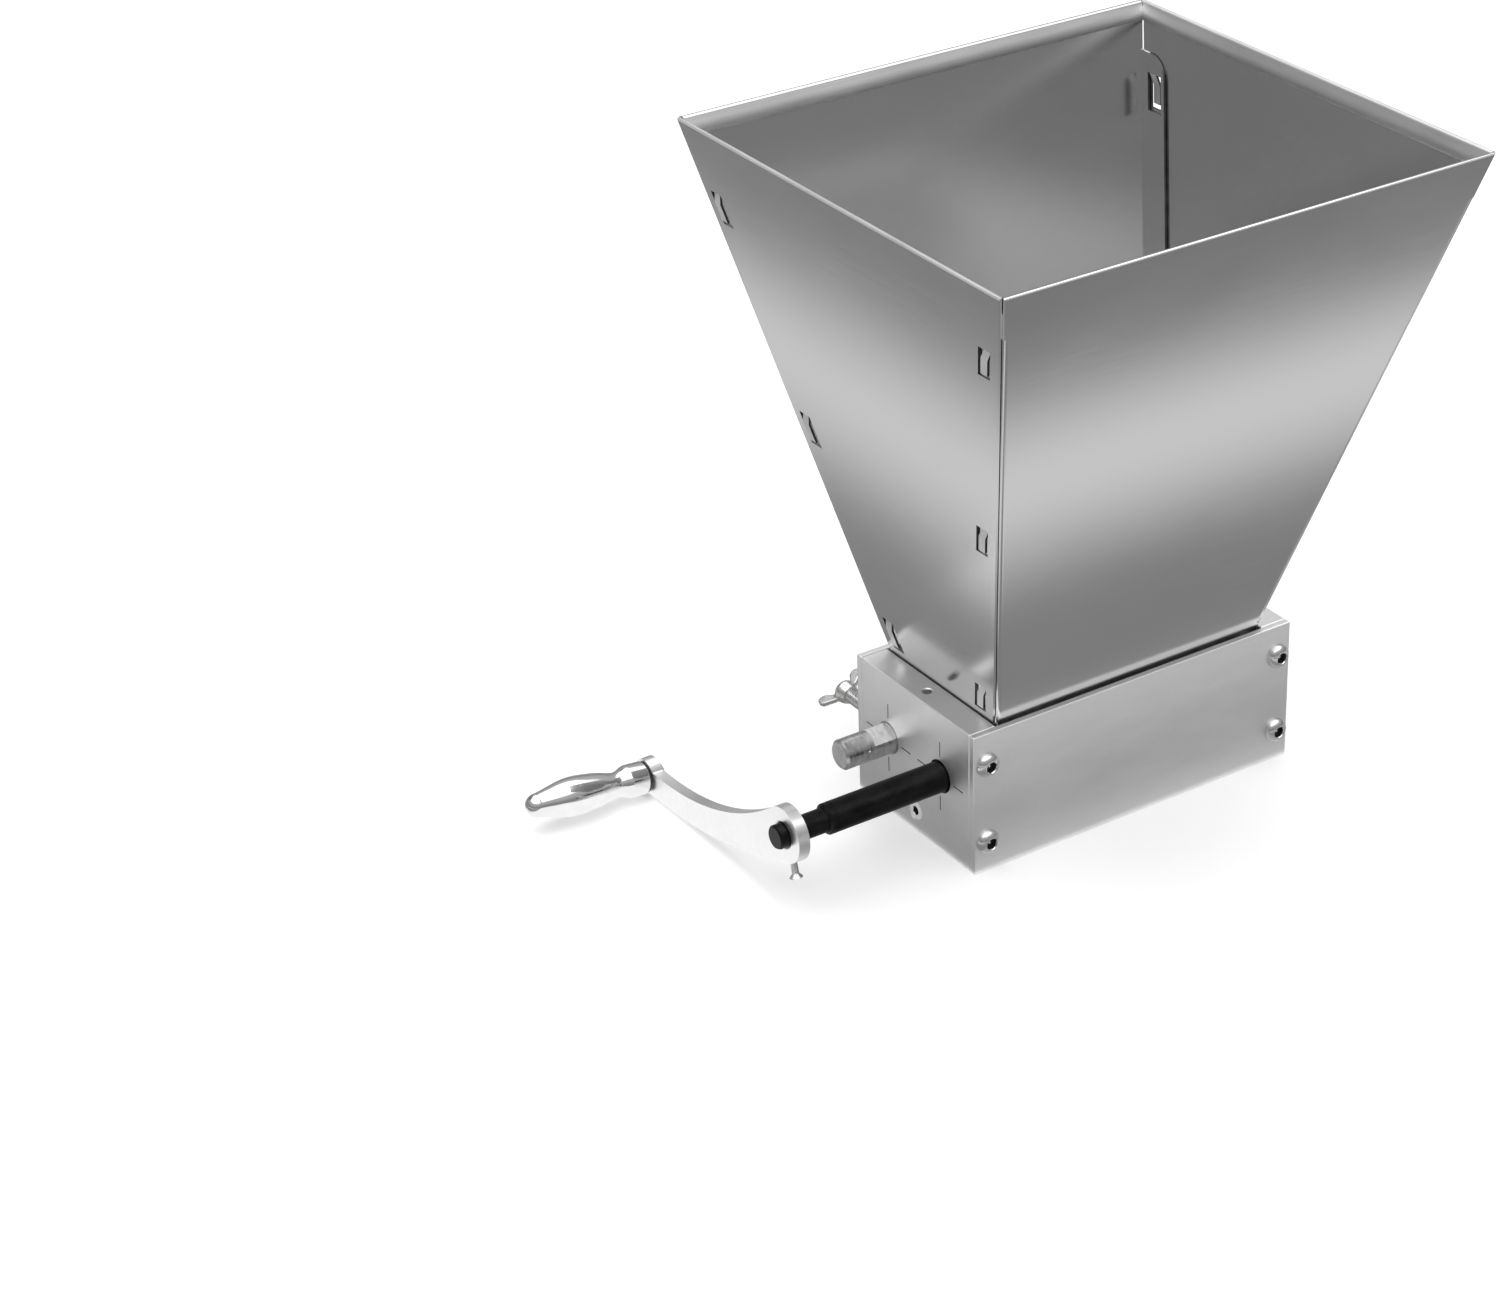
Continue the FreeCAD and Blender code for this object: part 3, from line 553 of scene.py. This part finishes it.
def end_plate(side, outward, materials):
    """An end plate whose engraved marks are filled with the second material."""
    node = "end_plate_" + side
    low, high = span(node)
    bm = cad_copy(node)
    round_edges(bm, PLATE_EDGE, 3, on_outline(node))
    x_face = low.x if outward < 0 else high.x
    bm = combined(bm, tick_marks(x_face, outward))
    for face in bm.faces:
        below = abs(face.calc_center_median().x - x_face)
        engraved = TOUCH < below < TICK_DEPTH + TOUCH and face.calc_area() < TICK_AREA
        face.material_index = 1 if engraved and on_tick(face.calc_center_median()) else 0
    return piece(node, bm, *materials)


def side_plate(side, material):
    node = "side_plate_" + side
    bm = cad_copy(node)
    round_edges(bm, PLATE_EDGE, 3, on_outline(node))
    return piece(node, bm, material)


def hem_faces(bm, inward):
    """Strips of the inner face of a panel's folded hem."""
    def on_hem(face):
        return face.normal.dot(inward) > FACES_INWARD and face.calc_center_median().z > RIM_Z - HEM_H

    bm.normal_update()
    return [face for face in bm.faces if on_hem(face) and face.calc_area() > HEM_AREA]


def swell_hem(bm, inward):
    """Swells the hem's inner face a little, because a fold is never quite flat."""
    for share in HEM_CUTS:
        faces = hem_faces(bm, inward)
        edges = list(dict.fromkeys(edge for face in faces for edge in face.edges))
        verts = list(dict.fromkeys(vert for face in faces for vert in face.verts))
        level = (0, 0, RIM_Z - HEM_H * share)
        cut = bmesh.ops.bisect_plane(bm, geom=verts + edges + faces, plane_co=level, plane_no=(0, 0, 1))
        swell = HEM_SWELL * (1 - (2 * share - 1) ** 2)
        for item in cut["geom_cut"]:
            if isinstance(item, bmesh.types.BMVert):
                item.co += Vector(inward) * swell


def panel_face(face, side, rim_y):
    """Which material a panel's face has: 0 sheet, 1 a cut edge, painted near black as the shade in the
    slots, 2 the folded hem, also a painted highlight on the tongues.
    """
    middle = face.calc_center_median()
    if face.normal.dot(INWARD[side]) > FACES_INWARD and middle.z > RIM_Z - HEM_H - HEM_SLACK:
        return 2
    if middle.z > RIM_Z - 2 * HEM_H:
        return 2 if middle.z > RIM_Z - RIM_EDGE and side in ("left", "right") else 0
    if side in ("left", "right"):
        across = abs(face.normal.dot(OUTWARD[side])) < FACES_ALONG
        return 1 if across and face.calc_area() < CUT_AREA else 0
    depth = (abs(rim_y) - abs(middle.y)) * LONG_COS - (RIM_Z - middle.z) * LONG_SIN
    # The tongues take the lighter hem material, a painted highlight for the light that their bulge catches.
    if depth > FLANGE_FROM and abs(face.normal.x) > FACES_ALONG and face.calc_area() < TONGUE_AREA:
        return 2
    return 1 if depth > FLANGE_FROM and abs(face.normal.x) < FACES_ACROSS else 0


def hopper_panel(side, materials):
    """One wall of the hopper, in sheet, cut-edge and hem materials. The cut edges carry painted shade, and
    the tongues a painted highlight.
    """
    node = "hopper_panel_" + side
    bm = cad_copy(node)
    swell_hem(bm, INWARD[side])
    low, high = span(node)
    across = 1 if side in ("front", "rear") else 0

    def on_rim(edge):
        top = both_ends(edge, lambda co: co.z > RIM_Z - TOUCH)
        run = edge.verts[0].co - edge.verts[1].co
        return top and abs(run[across]) < TOUCH and run.length > RIM_RUN

    round_edges(bm, RIM_EDGE, 4, on_rim)
    round_edges(bm, SHEET_EDGE, 2)
    for face in bm.faces:
        face.material_index = panel_face(face, side, max(abs(low.y), abs(high.y)))
    return piece(node, bm, *materials)


def dome_profile():
    """Head of a button screw from its seat to the rim of its socket."""
    last = acos(SOCKET_RIM / HEAD_R)
    points = [(0, HEAD_R - SEAT_CHAMFER), (SEAT_CHAMFER, HEAD_R), (HEAD_SIDE, HEAD_R)]
    for i in range(1, DOME_STEPS + 1):
        angle = last * i / DOME_STEPS
        rise = (HEAD_H - HEAD_SIDE) * sin(angle) / sin(last)
        points.append((HEAD_SIDE + rise, HEAD_R * cos(angle)))
    return points


def socketed(bm, top, rim, across_flats, depth):
    """Sinks a hexagon socket with a bevelled mouth into a screw along +X. Its inside is faced in slot 1, the
    painted shade of the socket.
    """
    corner = across_flats / sqrt(3)
    out = top + HEXAGON_PAST
    hexagon = lathe([(top - depth, 0), (top - depth, corner), (out, corner), (out, 0)], 6)
    out = top + MOUTH_PAST
    mouth = lathe([(top - SOCKET_BEVEL - rim, 0), (out, rim + MOUTH_PAST - SOCKET_BEVEL), (out, 0)], 48)
    bm = combined(combined(bm, hexagon), mouth)
    for face in bm.faces:
        middle = face.calc_center_median()
        sunk = top - depth - SOCKET_SLACK < middle.x < top - SOCKET_BEVEL
        face.material_index = 1 if sunk and hypot(middle.y, middle.z) < corner else 0
    return bm


def button_screw():
    """A button screw along +X from its seat, with a bevelled hexagon socket."""
    profile = [(-SCREW_L, 0), (-SCREW_L, SCREW_R - SCREW_CHAMFER), (SCREW_CHAMFER - SCREW_L, SCREW_R),
               (0, SCREW_R)]
    profile += dome_profile() + [(HEAD_H, 0)]
    return socketed(lathe(profile, 72), HEAD_H, SOCKET_RIM, SOCKET_AF, SOCKET_DEPTH)


def tie_rod_screws(materials):
    """Flush countersunk screws, one in each end plate."""
    node = "tie_rod_screws"
    low, high = span(node)
    middle = (low + high) / 2
    profile = [(-TIE_SCREW_L, 0), (-TIE_SCREW_L, TIE_SCREW_R), (-TIE_HEAD_H, TIE_SCREW_R)]
    profile += [(at, TIE_HEAD_R - step) for at, step in TIE_CROWN] + [(0, 0)]
    screws = []
    for x, way in ((low.x, -1), (high.x, 1)):
        screw = socketed(lathe(profile, 64), 0, TIE_SOCKET_RIM, TIE_SOCKET_AF, TIE_SOCKET_DEPTH)
        screws.append(place(screw, (x, middle.y, middle.z), (way, 0, 0)))
    return piece(node, joined(screws), *materials)


def side_screws(side, outward, materials, pattern):
    node = "side_screws_" + side
    low, high = span(node)
    seat_y = span("side_plate_" + side)[0 if outward < 0 else 1].y
    screws = []
    for index, (x, z) in enumerate((x, z) for x in (low.x + HEAD_R, high.x - HEAD_R)
                                   for z in (low.z + HEAD_R, high.z - HEAD_R)):
        screw = pattern.copy()
        screw.transform(Matrix.Rotation(radians(SCREW_TURNS[index]), 4, "X"))
        screws.append(place(screw, (x, seat_y, z), (0, outward, 0)))
    return piece(node, joined(screws), *materials)


def thread(length, radius, pitch, steps=36, per_turn=8):
    """A threaded rod along +X from 0, with blunt crests and plain faded ends."""
    depth = THREAD_DEPTH * pitch
    rings = int(length / pitch * per_turn)
    profile = [(0, 0)] + [(length * i / rings, radius) for i in range(rings + 1)] + [(length, 0)]

    def radius_at(index, step, r):
        turns = (index - 1) * length / rings / pitch - step / steps
        wave = abs(2 * (turns - floor(turns)) - 1)
        fade = min(1.0, (index - 1) / per_turn, (rings + 1 - index) / per_turn)
        return r - depth * min(1.0, max(0.0, THREAD_SLOPE * wave - THREAD_CREST)) * (0.5 + 0.5 * fade)

    return lathe(profile, steps, radius_at)


def beyond(node, origin, way):
    """The part of a CAD node that lies ahead of a plane."""
    bm = cad_copy(node)
    geometry = bm.verts[:] + bm.edges[:] + bm.faces[:]
    cut = bmesh.ops.bisect_plane(bm, geom=geometry, plane_co=origin, plane_no=way, clear_inner=True)
    rim = [item for item in cut["geom_cut"] if isinstance(item, bmesh.types.BMEdge)]
    bmesh.ops.contextual_create(bm, geom=rim)
    return bm


def cast(bm, voxel, rounds):
    """Softens a shape all over, as a casting is."""
    obj = scratch(bm)
    remesh = obj.modifiers.new("remesh", "REMESH")
    remesh.mode = "VOXEL"
    remesh.voxel_size = voxel
    smooth = obj.modifiers.new("smooth", "SMOOTH")
    smooth.factor = 0.5
    smooth.iterations = rounds
    return modified(obj)


def wing_bolt(side, material):
    """Cast hub and ears on a threaded shank."""
    node = "wing_bolt_" + side
    low = span(node)[0]
    face = span("side_plate_rear")[1].y
    joint = joint_place("wing_bolt_" + side + "_turn")
    ears = cast(beyond(node, (0, face + WING_HUB_AT, 0), (0, 1, 0)), WING_VOXEL, WING_ROUNDS)
    rod = thread(face + WING_HUB_AT + WING_ROD_PAST - low.y, WING_SHANK_R, WING_PITCH)
    place(rod, (joint.x, low.y, joint.z), (0, 1, 0))
    return piece(node, combined(ears, rod, "UNION"), material)


def set_screw(material):
    """The crank's set screw: a bare thread and a flared head with a cross slot."""
    node = "crank_set_screw"
    low, high = span(node)
    way = Vector((0, ARM_WAY.z, -ARM_WAY.y))
    start = Vector(((low.x + high.x) / 2, DRIVE.y, DRIVE.z))
    root = SET_HEAD_AT - SET_ROOT
    flare = [(root, 0), (root, SET_R - SET_ROOT_STEP), (SET_HEAD_AT, SET_R)]
    flare += [(SET_END + at, SET_HEAD_R - step) for at, step in SET_RIM] + [(SET_END, 0)]
    head = lathe(flare, 48)
    for half_y, half_z in ((SET_SLOT_L, SET_SLOT_W), (SET_SLOT_W, SET_SLOT_L)):
        slot = block(SET_END - SET_SLOT_DEPTH, SET_END + 1, -half_y, half_y, -half_z, half_z)
        head = combined(head, slot)
    rod = thread(SET_HEAD_AT - SET_ROD_GAP - SET_START, SET_R, SET_PITCH, SET_ROD_STEPS)
    place(rod, (SET_START, 0, 0), (1, 0, 0))
    return piece(node, place(combined(head, rod, "UNION"), start, way), material)


def grip_outline():
    """The turned outline of the CAD grip, as distances from the arm and radii."""
    points = {}
    for vert in NODES["grip"].data.vertices:
        offset = vert.co / MM - PIVOT
        s = offset.dot(GRIP_WAY)
        r = (offset - s * GRIP_WAY).length
        if r > GRIP_BORE_R + 1 or s > GRIP_BORE_END:
            points[round(s, 2)] = r
    outline = []
    for s in sorted(points):
        if len(outline) < 3 or s - outline[-1][0] > GRIP_STEP:
            outline.append((s, points[s]))
    outline[-1] = (outline[-1][0], 0)
    return outline


def curved(points, cuts=4):
    """A smooth curve through a list of (distance, radius)."""
    curve = []
    for i in range(len(points) - 1):
        near = [points[min(max(k, 0), len(points) - 1)] for k in range(i - 1, i + 3)]
        before, start, end, after = [Vector(point) for point in near]
        for cut in range(cuts):
            t = cut / cuts
            bend = (end - before) * t + (2 * before - 5 * start + 4 * end - after) * t ** 2
            curve.append(start + 0.5 * (bend + (3 * start - before - 3 * end + after) * t ** 3))
    return [tuple(point) for point in curve] + [points[-1]]


def grip(material):
    outline = grip_outline()
    outline = outline[:GRIP_CORNERS] + curved(outline[GRIP_CORNERS:-1]) + outline[-1:]
    bore = [(GRIP_BORE_END, 0), (GRIP_BORE_END, GRIP_BORE_R), (outline[0][0], GRIP_BORE_R)]
    return piece("grip", place(lathe(bore + outline, 96), PIVOT, GRIP_WAY), material)


def knurled_roller(node, bore, seat=None):
    """A roller whose face is cut into raised diamonds by two crossing sets of grooves."""
    low, high = span(node)
    length, radius = high.x - low.x, (high.z - low.z) / 2
    round_count = round(2 * pi * radius / KNURL_ROUND)
    steps = round_count * KNURL_STEPS
    along_count = round((length - 2 * ROLLER_CHAMFER) / KNURL_ALONG)
    rows = along_count * KNURL_STEPS
    pitch = (length - 2 * ROLLER_CHAMFER) / rows
    face = [(ROLLER_CHAMFER + pitch * i, radius) for i in range(rows + 1)]
    profile = [(0, bore), (0, radius - ROLLER_CHAMFER)] + face
    profile += [(length, radius - ROLLER_CHAMFER), (length, bore)]
    if seat:
        deep = seat[1]
        profile = [(deep, bore), (deep, seat[0]), (0, seat[0])] + profile[1:-1]
        profile += [(length, seat[0]), (length - deep, seat[0]), (length - deep, bore)]
    first = profile.index(face[0])

    def radius_at(index, step, r):
        row = index - first
        if not 0 <= row <= rows:
            return r
        up, down = (step + row) % KNURL_STEPS, (step - row) % KNURL_STEPS
        peaks = [1 - abs(2 * value / KNURL_STEPS - 1) for value in (up, down)]
        return r - KNURL_DEPTH * (1 - min(peaks))

    bm = lathe(profile, steps, radius_at)
    centre = (low + high) / 2
    return place(bm, (low.x, centre.y, centre.z), (1, 0, 0))


def drive_roller(material):
    bm = knurled_roller("drive_roller", SHAFT_BORE)
    pin_low, pin_high = span("drive_roller_pin")
    middle = (pin_low + pin_high) / 2
    reach = 2 * (span("drive_roller")[1].z - DRIVE.z)
    hole = place(lathe([(0, 0), (0, PIN_HOLE_R), (2 * reach, PIN_HOLE_R), (2 * reach, 0)], 32),
                 middle - ARM_WAY * reach, ARM_WAY)
    return piece("drive_roller", combined(bm, hole), material)


def idler_roller(material):
    bush_low, bush_high = span("idler_bush_left")
    seat = ((bush_high.z - bush_low.z) / 2, bush_high.x - bush_low.x)
    return piece("idler_roller", knurled_roller("idler_roller", IDLER_BORE, seat), material)


def plain_piece(node, width, material):
    bm = cad_copy(node)
    if width:
        round_edges(bm, width, 2)
    return piece(node, bm, material)


def build_pieces():
    aluminium, sheet, bright = satin_aluminium(), stainless_sheet(), bright_fastener()
    polymer, steel, zinc, bronze = black_polymer(), satin_steel(), zinc_plate(), sintered_bronze()
    about_drive = turned_steel(DRIVE, "drive")
    about_adjuster = turned_steel(ADJUSTER, "adjuster", 0.42, 0.64)
    # dark: the painted shade of the sockets, also the fill of the end plates' engraved marks
    screw, dark = button_screw(), socket_shade_and_tick_fill()
    sheets = (sheet, cut_edge_with_slot_shade(), hem_sheet_and_tongue_highlight())
    end_plate("left", -1, (aluminium, dark))
    end_plate("right", 1, (aluminium, dark))
    for side in ("front", "rear"):
        side_plate(side, aluminium)
        hopper_panel(side, sheets)
        side_screws(side, -1 if side == "front" else 1, (bright, dark), screw)
        plain_piece("grain_guide_" + side, SHEET_EDGE, sheet)
    roller_look = roller_steel()
    for side in ("left", "right"):
        hopper_panel(side, sheets)
        plain_piece("drive_bush_" + side, SMALL_EDGE, polymer)
        plain_piece("adjuster_" + side, SMALL_EDGE, about_adjuster)
        plain_piece("idler_bush_" + side, SMALL_EDGE, bronze)
        wing_bolt(side, zinc)
    plain_piece("tie_rod", SMALL_EDGE, about_drive)
    tie_rod_screws((nickel_face(), dark))
    drive_roller(roller_look)
    idler_roller(roller_look)
    plain_piece("drive_shaft", SMALL_EDGE, black_oxide())
    plain_piece("drive_roller_pin", SMALL_EDGE, about_drive)
    plain_piece("crank_arm", ARM_EDGE, steel)
    set_screw(bright)
    plain_piece("grip_axle", SMALL_EDGE, about_drive)
    plain_piece("grip_retaining_ring", 0, about_drive)
    plain_piece("grip_washer", 0, polymer)
    grip(polished_chrome())


# ---- stage ----

FLOOR_HALF, FLOOR_GLOW = 6.0, 0.2   # a light table: its own glow softens the shadows
CARD_LIFT, CARD_REACH = 0.0004, 1.2
PLATE_X, PLATE_Y = 80.0, 42.0       # the cards stop round the housing

# A soft bright band on the floor along each side, with dim floor on both sides of it
FRONT_BAND = (96.0, 155.0, 213.0)   # where it starts, is brightest and ends, from the middle plane
SIDE_BAND = (122.0, 182.5, 242.0)
BAND_NEAR, BAND_DIM, BAND_BRIGHT, BAND_END = 0.5, 0.29, 1.02, 0.24
FAR_START, FAR_END, FAR_GLOW = 300.0, 480.0, 0.7  # beyond the bands the floor brightens again
NEAR_PART, DIM_PART, FAR_PART = 0.5, 0.7, 1.5  # shares of a band's start, and of FAR_END
ARM_CARD = (-235.0, -128.0, -45.0, 122.0)  # ends of the patch of light under the crank, along x and y
ARM_GLOW, ARM_FADE = 1.05, 18.0

LIGHT_AT, LIGHT_TO = (-0.1, -0.1, 1.9), (0, 0, 0.1)
LIGHT_SIZE, LIGHT_POWER = (1.4, 1.4), 6


def flat_card(name, x0, x1, y0, y1, z, material):
    bm = bmesh.new()
    bm.faces.new([bm.verts.new(p) for p in ((x0, y0, z), (x1, y0, z), (x1, y1, z), (x0, y1, z))])
    mesh = bpy.data.meshes.new(name)
    bm.to_mesh(mesh)
    bm.free()
    mesh.materials.append(material)
    made = bpy.data.objects.new(name, mesh)
    bpy.context.scene.collection.objects.link(made)
    return made


def floor_look():
    tree = Tree("floor_look")
    where = tree.place()
    cloud = tree.noise(where, (0.01, 0.01, 0.01), 2.0)
    colour = tree.tones(cloud, grey(0.86), grey(0.88))
    tree.shader.inputs["Emission Color"].default_value = (1, 1, 1, 1)
    tree.shader.inputs["Emission Strength"].default_value = FLOOR_GLOW
    return tree.finish(colour, 0.7, tree.bump(cloud, 0.01), 0.0)


def band_stops(band):
    """Glow by the distance from the object, in millimetres."""
    start, peak, end = band
    return [(0, BAND_NEAR), (NEAR_PART * start, BAND_NEAR), (DIM_PART * start, BAND_DIM), (start, BAND_DIM),
            (peak, BAND_BRIGHT), (end, BAND_END), (FAR_START, BAND_END),
            (FAR_END, FAR_GLOW), (FAR_PART * FAR_END, FAR_GLOW)]


def fill_ramp(ramp, stops, smooth="LINEAR"):
    ramp.color_ramp.interpolation = smooth
    elements = ramp.color_ramp.elements
    elements[1].position = 1.0
    for stop in stops[1:-1]:
        elements.new(stop[0])
    for element, (at, level) in zip(elements, stops):
        element.position = at
        element.color = (level, level, level, 1)


def card_look(name, axis, stops):
    """A glow whose strength changes with the distance from the object along x or y."""
    tree = Tree(name)
    tree.nodes.remove(tree.shader)
    apart = tree.node("SeparateXYZ", {0: tree.place()})
    distance = tree.math("ABSOLUTE", apart.outputs[axis])
    reach = stops[-1][0]
    ramp = tree.node("ValToRGB", {"Fac": tree.math("DIVIDE", distance, reach)})
    fill_ramp(ramp, [(at / reach, level) for at, level in stops], "EASE")
    glow = tree.node("Emission", {"Color": ramp.outputs["Color"], "Strength": 1.0})
    tree.links.new(glow.outputs[0], tree.nodes["Material Output"].inputs["Surface"])
    return tree.material


def arm_card_look():
    """A patch of light under the crank that fades out at its edges."""
    tree = Tree("card_arm")
    tree.nodes.remove(tree.shader)
    x0, x1, y0, y1 = ARM_CARD
    apart = tree.node("SeparateXYZ", {0: tree.place(((x0 + x1) / 2, (y0 + y1) / 2, 0))})
    inside = []
    for axis, half in (("X", (x1 - x0) / 2), ("Y", (y1 - y0) / 2)):
        distance = tree.math("ABSOLUTE", apart.outputs[axis])
        inside.append(tree.span(distance, 1.0, 0.0, half - ARM_FADE, half))
    glow = tree.node("Emission", {"Strength": ARM_GLOW})
    clear = tree.node("BsdfTransparent", {})
    share = tree.math("MULTIPLY", inside[0], inside[1])
    mixed = tree.node("MixShader", {0: share, 1: clear.outputs[0], 2: glow.outputs[0]})
    tree.links.new(mixed.outputs[0], tree.nodes["Material Output"].inputs["Surface"])
    return tree.material


def reflection_cards():
    """Soft graded cards on the floor that only reflections see, on each side of the object."""
    front = card_look("card_y", "Y", band_stops(FRONT_BAND))
    side = card_look("card_x", "X", band_stops(SIDE_BAND))
    half_x, half_y = PLATE_X * MM, PLATE_Y * MM
    cards = [
        flat_card("card_front", -half_x, CARD_REACH, -CARD_REACH, -half_y, CARD_LIFT, front),
        flat_card("card_left", -CARD_REACH, -half_x, -half_y, CARD_REACH, CARD_LIFT, side),
        flat_card("card_rear", -half_x, CARD_REACH, half_y, CARD_REACH, CARD_LIFT, front),
        flat_card("card_right", half_x, CARD_REACH, -half_y, half_y, CARD_LIFT, side),
        flat_card("card_corner", -CARD_REACH, -half_x, -CARD_REACH, -half_y, CARD_LIFT, side),
        flat_card("card_arm", *[value * MM for value in ARM_CARD], 2 * CARD_LIFT, arm_card_look()),
    ]
    for card in cards:
        card.visible_camera = False
        card.visible_diffuse = False
        card.visible_shadow = False
        card.visible_transmission = False


def top_light():
    data = bpy.data.lights.new("light_top", "AREA")
    data.shape = "RECTANGLE"
    data.size, data.size_y = LIGHT_SIZE
    data.energy = LIGHT_POWER
    made = bpy.data.objects.new("light_top", data)
    made.location = LIGHT_AT
    way = Vector(LIGHT_TO) - Vector(LIGHT_AT)
    made.rotation_mode = "QUATERNION"
    made.rotation_quaternion = way.to_track_quat("-Z", "Y")
    bpy.context.scene.collection.objects.link(made)


# Brightness of the studio by height above the horizon, as the sine of the elevation
SKY = ((0.0, 0.22), (0.25, 0.26), (0.42, 0.4), (0.65, 0.46), (0.79, 2.0), (1.0, 2.5))
# A grey flag hangs behind and to the left, so that the housing's top glares less on the hopper
FLAG_WAY, FLAG_EDGE, FLAG_CORE, FLAG_DIM = (-0.26, 0.77, 0.58), 0.92, 0.99, 0.35


def world():
    made = bpy.data.worlds.new("studio")
    made.use_nodes = True
    nodes, links = made.node_tree.nodes, made.node_tree.links
    where = nodes.new("ShaderNodeTexCoord").outputs["Generated"]
    apart = nodes.new("ShaderNodeSeparateXYZ")
    ramp = nodes.new("ShaderNodeValToRGB")
    links.new(where, apart.inputs[0])
    links.new(apart.outputs["Z"], ramp.inputs["Fac"])
    fill_ramp(ramp, SKY)
    links.new(ramp.outputs["Color"], nodes["Background"].inputs["Color"])
    towards = nodes.new("ShaderNodeVectorMath")
    towards.operation = "DOT_PRODUCT"
    towards.inputs[1].default_value = FLAG_WAY
    links.new(where, towards.inputs[0])
    flag = nodes.new("ShaderNodeMapRange")
    limits = {"From Min": FLAG_EDGE, "From Max": FLAG_CORE, "To Min": 1.0, "To Max": FLAG_DIM}
    for name, value in limits.items():
        flag.inputs[name].default_value = value
    links.new(towards.outputs["Value"], flag.inputs["Value"])
    links.new(flag.outputs["Result"], nodes["Background"].inputs["Strength"])
    bpy.context.scene.world = made


def camera():
    data = bpy.data.cameras.new("camera")
    data.lens = CAMERA_LENS
    data.sensor_width = CAMERA_SENSOR
    data.shift_x, data.shift_y = CAMERA_SHIFT
    data.clip_start, data.clip_end = CAMERA_CLIP
    made = bpy.data.objects.new("camera", data)
    azimuth, down = radians(CAMERA_AZIMUTH), radians(CAMERA_DOWN)
    ahead = Vector((sin(azimuth) * cos(down), cos(azimuth) * cos(down), -sin(down)))
    made.rotation_mode = "QUATERNION"
    roll = Quaternion((0, 0, 1), radians(CAMERA_ROLL))
    made.rotation_quaternion = ahead.to_track_quat("-Z", "Y") @ roll
    made.location = CAMERA_AT
    bpy.context.scene.collection.objects.link(made)
    bpy.context.scene.camera = made


def stage():
    flat_card("floor", -FLOOR_HALF, FLOOR_HALF, -FLOOR_HALF, FLOOR_HALF, 0, floor_look())
    reflection_cards()
    top_light()
    world()
    camera()
    bpy.context.scene.view_settings.view_transform = "Standard"


def corners(box):
    return [list(corner) for corner in box]


build_pieces()
stage()
